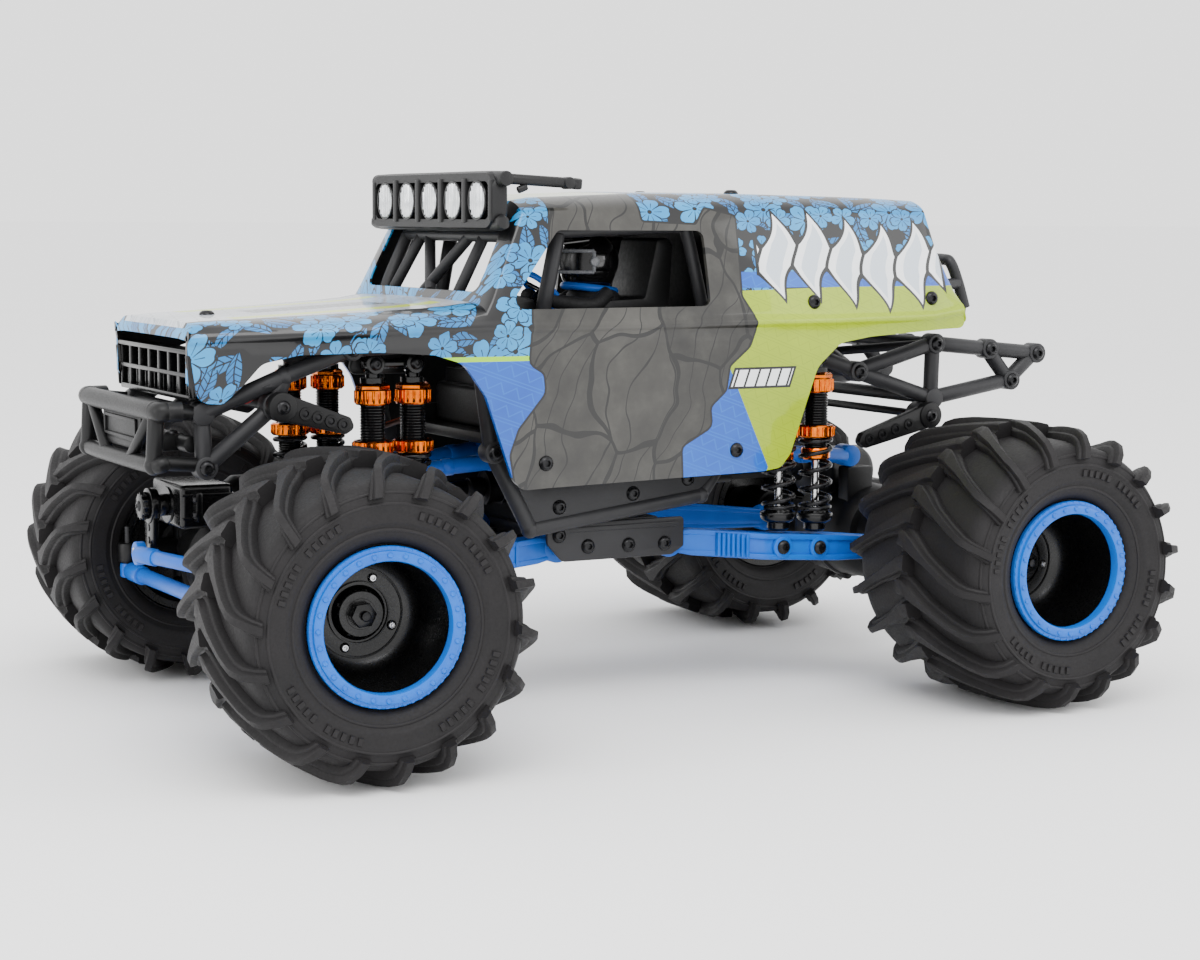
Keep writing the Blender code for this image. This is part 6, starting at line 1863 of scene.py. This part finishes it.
# helmet: shell, peak, visor opening with a grey frame, and chin bar
ball(g, (3.2, 12.0, 112.0), 7.5, 40, 24, 0, (1.06, 0.94, 0.98))
lathe(g, (3.4, 12.0, 105.2), (0, 0, 1), [(0, 4.6), (0.0, 5.4), (1.0, 6.2), (3.0, 7.0), (4.2, 7.2), (4.2, 6.2)], 36, 0, closed=True)
peak = round_poly([(5.0, -6.2), (13.4, -4.6), (14.2, 0), (13.4, 4.6), (5.0, 6.2)], 1.4, 4)
slab(g, peak, lambda u, v, w: (u, 12 + v, 117.0 + w - (u - 5.0) * 0.12), 1.0, 0, 0.35)
vis = []
for k in range(13):
    a = math.radians(-74 + 148 * k / 12)
    vis.append((3.2 + 7.95 * math.cos(a) * 1.04, 12 + 7.5 * math.sin(a)))
tube(g, [(x, y, 114.6) for x, y in vis], 0.5, 10, 1)
tube(g, [(x, y, 109.2) for x, y in vis], 0.5, 10, 1)
for k in (0, 12):
    cyl(g, (vis[k][0], vis[k][1], 109.2), (vis[k][0], vis[k][1], 114.6), 0.5, 10, 1)
    cyl(g, (vis[k][0], vis[k][1], 111.9), (vis[k][0], vis[k][1] + (0.9 if k else -0.9), 111.9), 1.3, 20, 1)
# the smoked visor between them
pts, faces = [], []
for x, y in vis:
    pts += [(x - 0.15, y, 109.4), (x + 0.15, y, 112.0), (x - 0.15, y, 114.4)]
for k in range(12):
    for j in range(2):
        faces.append([3 * k + j, 3 * k + 3 + j, 3 * k + 4 + j, 3 * k + 1 + j])
back = [(p[0] - 0.4, p[1] + (12 - p[1]) * 0.04, p[2]) for p in pts]
nb = len(pts)
faces += [[nb + i for i in f[::-1]] for f in faces]
rim = [3 * k for k in range(13)] + [37, 38] + [3 * k + 2 for k in range(11, -1, -1)] + [1]
for a, b in zip(rim, rim[1:] + rim[:1]):
    faces.append([b, a, nb + a, nb + b])
g.put(pts + back, faces, 3)
make("vis_driver", g, ["helmet", "visor_grey", "suit", "nylon_gloss"], "chassis", ["driver"], angle=45)

g = Geo()
c = np.array((16.5, 12.0, 104.2))
a, uu, vv = basis((-0.72, 0, 0.69))
ringp = [c + 6.4 * (math.cos(2 * math.pi * k / 40) * uu + math.sin(2 * math.pi * k / 40) * vv) for k in range(40)]
tube(g, ringp, 0.8, 12, 0, closed=True)
for k in range(3):
    t = 2 * math.pi * k / 3 + 0.5
    cyl(g, c, c + 6.2 * (math.cos(t) * uu + math.sin(t) * vv), 0.6, 10, 1)
cyl(g, c - a * 0.4, c - a * 7.0, 1.2, 16, 1)
# padded blue collar round the neck
col = [(3.0 + 6.6 * math.cos(t), 12 + 6.4 * math.sin(t), 104.9 + 0.8 * math.cos(t)) for t in [2 * math.pi * k / 36 for k in range(36)]]
tube(g, col, 1.0, 12, 0, closed=True)
make("vis_wheel_and_collar", g, ["blue_nylon", "nylon_gloss"], "chassis", angle=45)

# ================= screws in the shell =================
g = Geo()
for x, z in ((31.0, 63.7), (-23.1, 64.7), (-46.4, 101.8), (-84.3, 102.3)):
    hit, nrm, _, _ = OUTER.ray_cast(V((x, 80, z)), Vector((0, -1, 0)))
    if hit is None:
        continue
    q = (hit.x * 1000 - SX, hit.y * 1000, hit.z * 1000)
    for sy in (1, -1):
        ny = abs(nrm.y)
        button_screw(g, (q[0], q[1] * sy, q[2]), (0, sy, 0.0), 1.9, 1.05, 0)
for x, y in ((-32.0, 24.0), (-32.0, -24.0), (101.7, 0.0)):
    hit, nrm, _, _ = OUTER.ray_cast(V((x, y, 160)), Vector((0, 0, -1)))
    if hit is not None:
        button_screw(g, (hit.x * 1000 - SX, hit.y * 1000, hit.z * 1000), (0, 0, 1), 1.9, 1.0, 0)
make("vis_shell_screws", g, ["steel_dark"], "chassis")

# ================= wires =================
g = Geo()
tube(g, smooth_path([(97.0, 24.0, 83.0), (101.0, 25.5, 80.0), (103.6, 21.0, 80.6), (100.0, 14.0, 82.4)], 8), 0.75, 12, 0)
for k, mat in enumerate((1, 2)):
    tube(g, smooth_path([(52.0, 12.0 + 1.4 * k, 74.0), (60.0, 13.0 + 1.4 * k, 72.0), (66.0, 11.0 + 1.4 * k, 70.0)], 8), 0.6, 10, mat)
make("vis_wires", g, ["wire_red", "wire_orange", "wire_brown"], "chassis", angle=60)
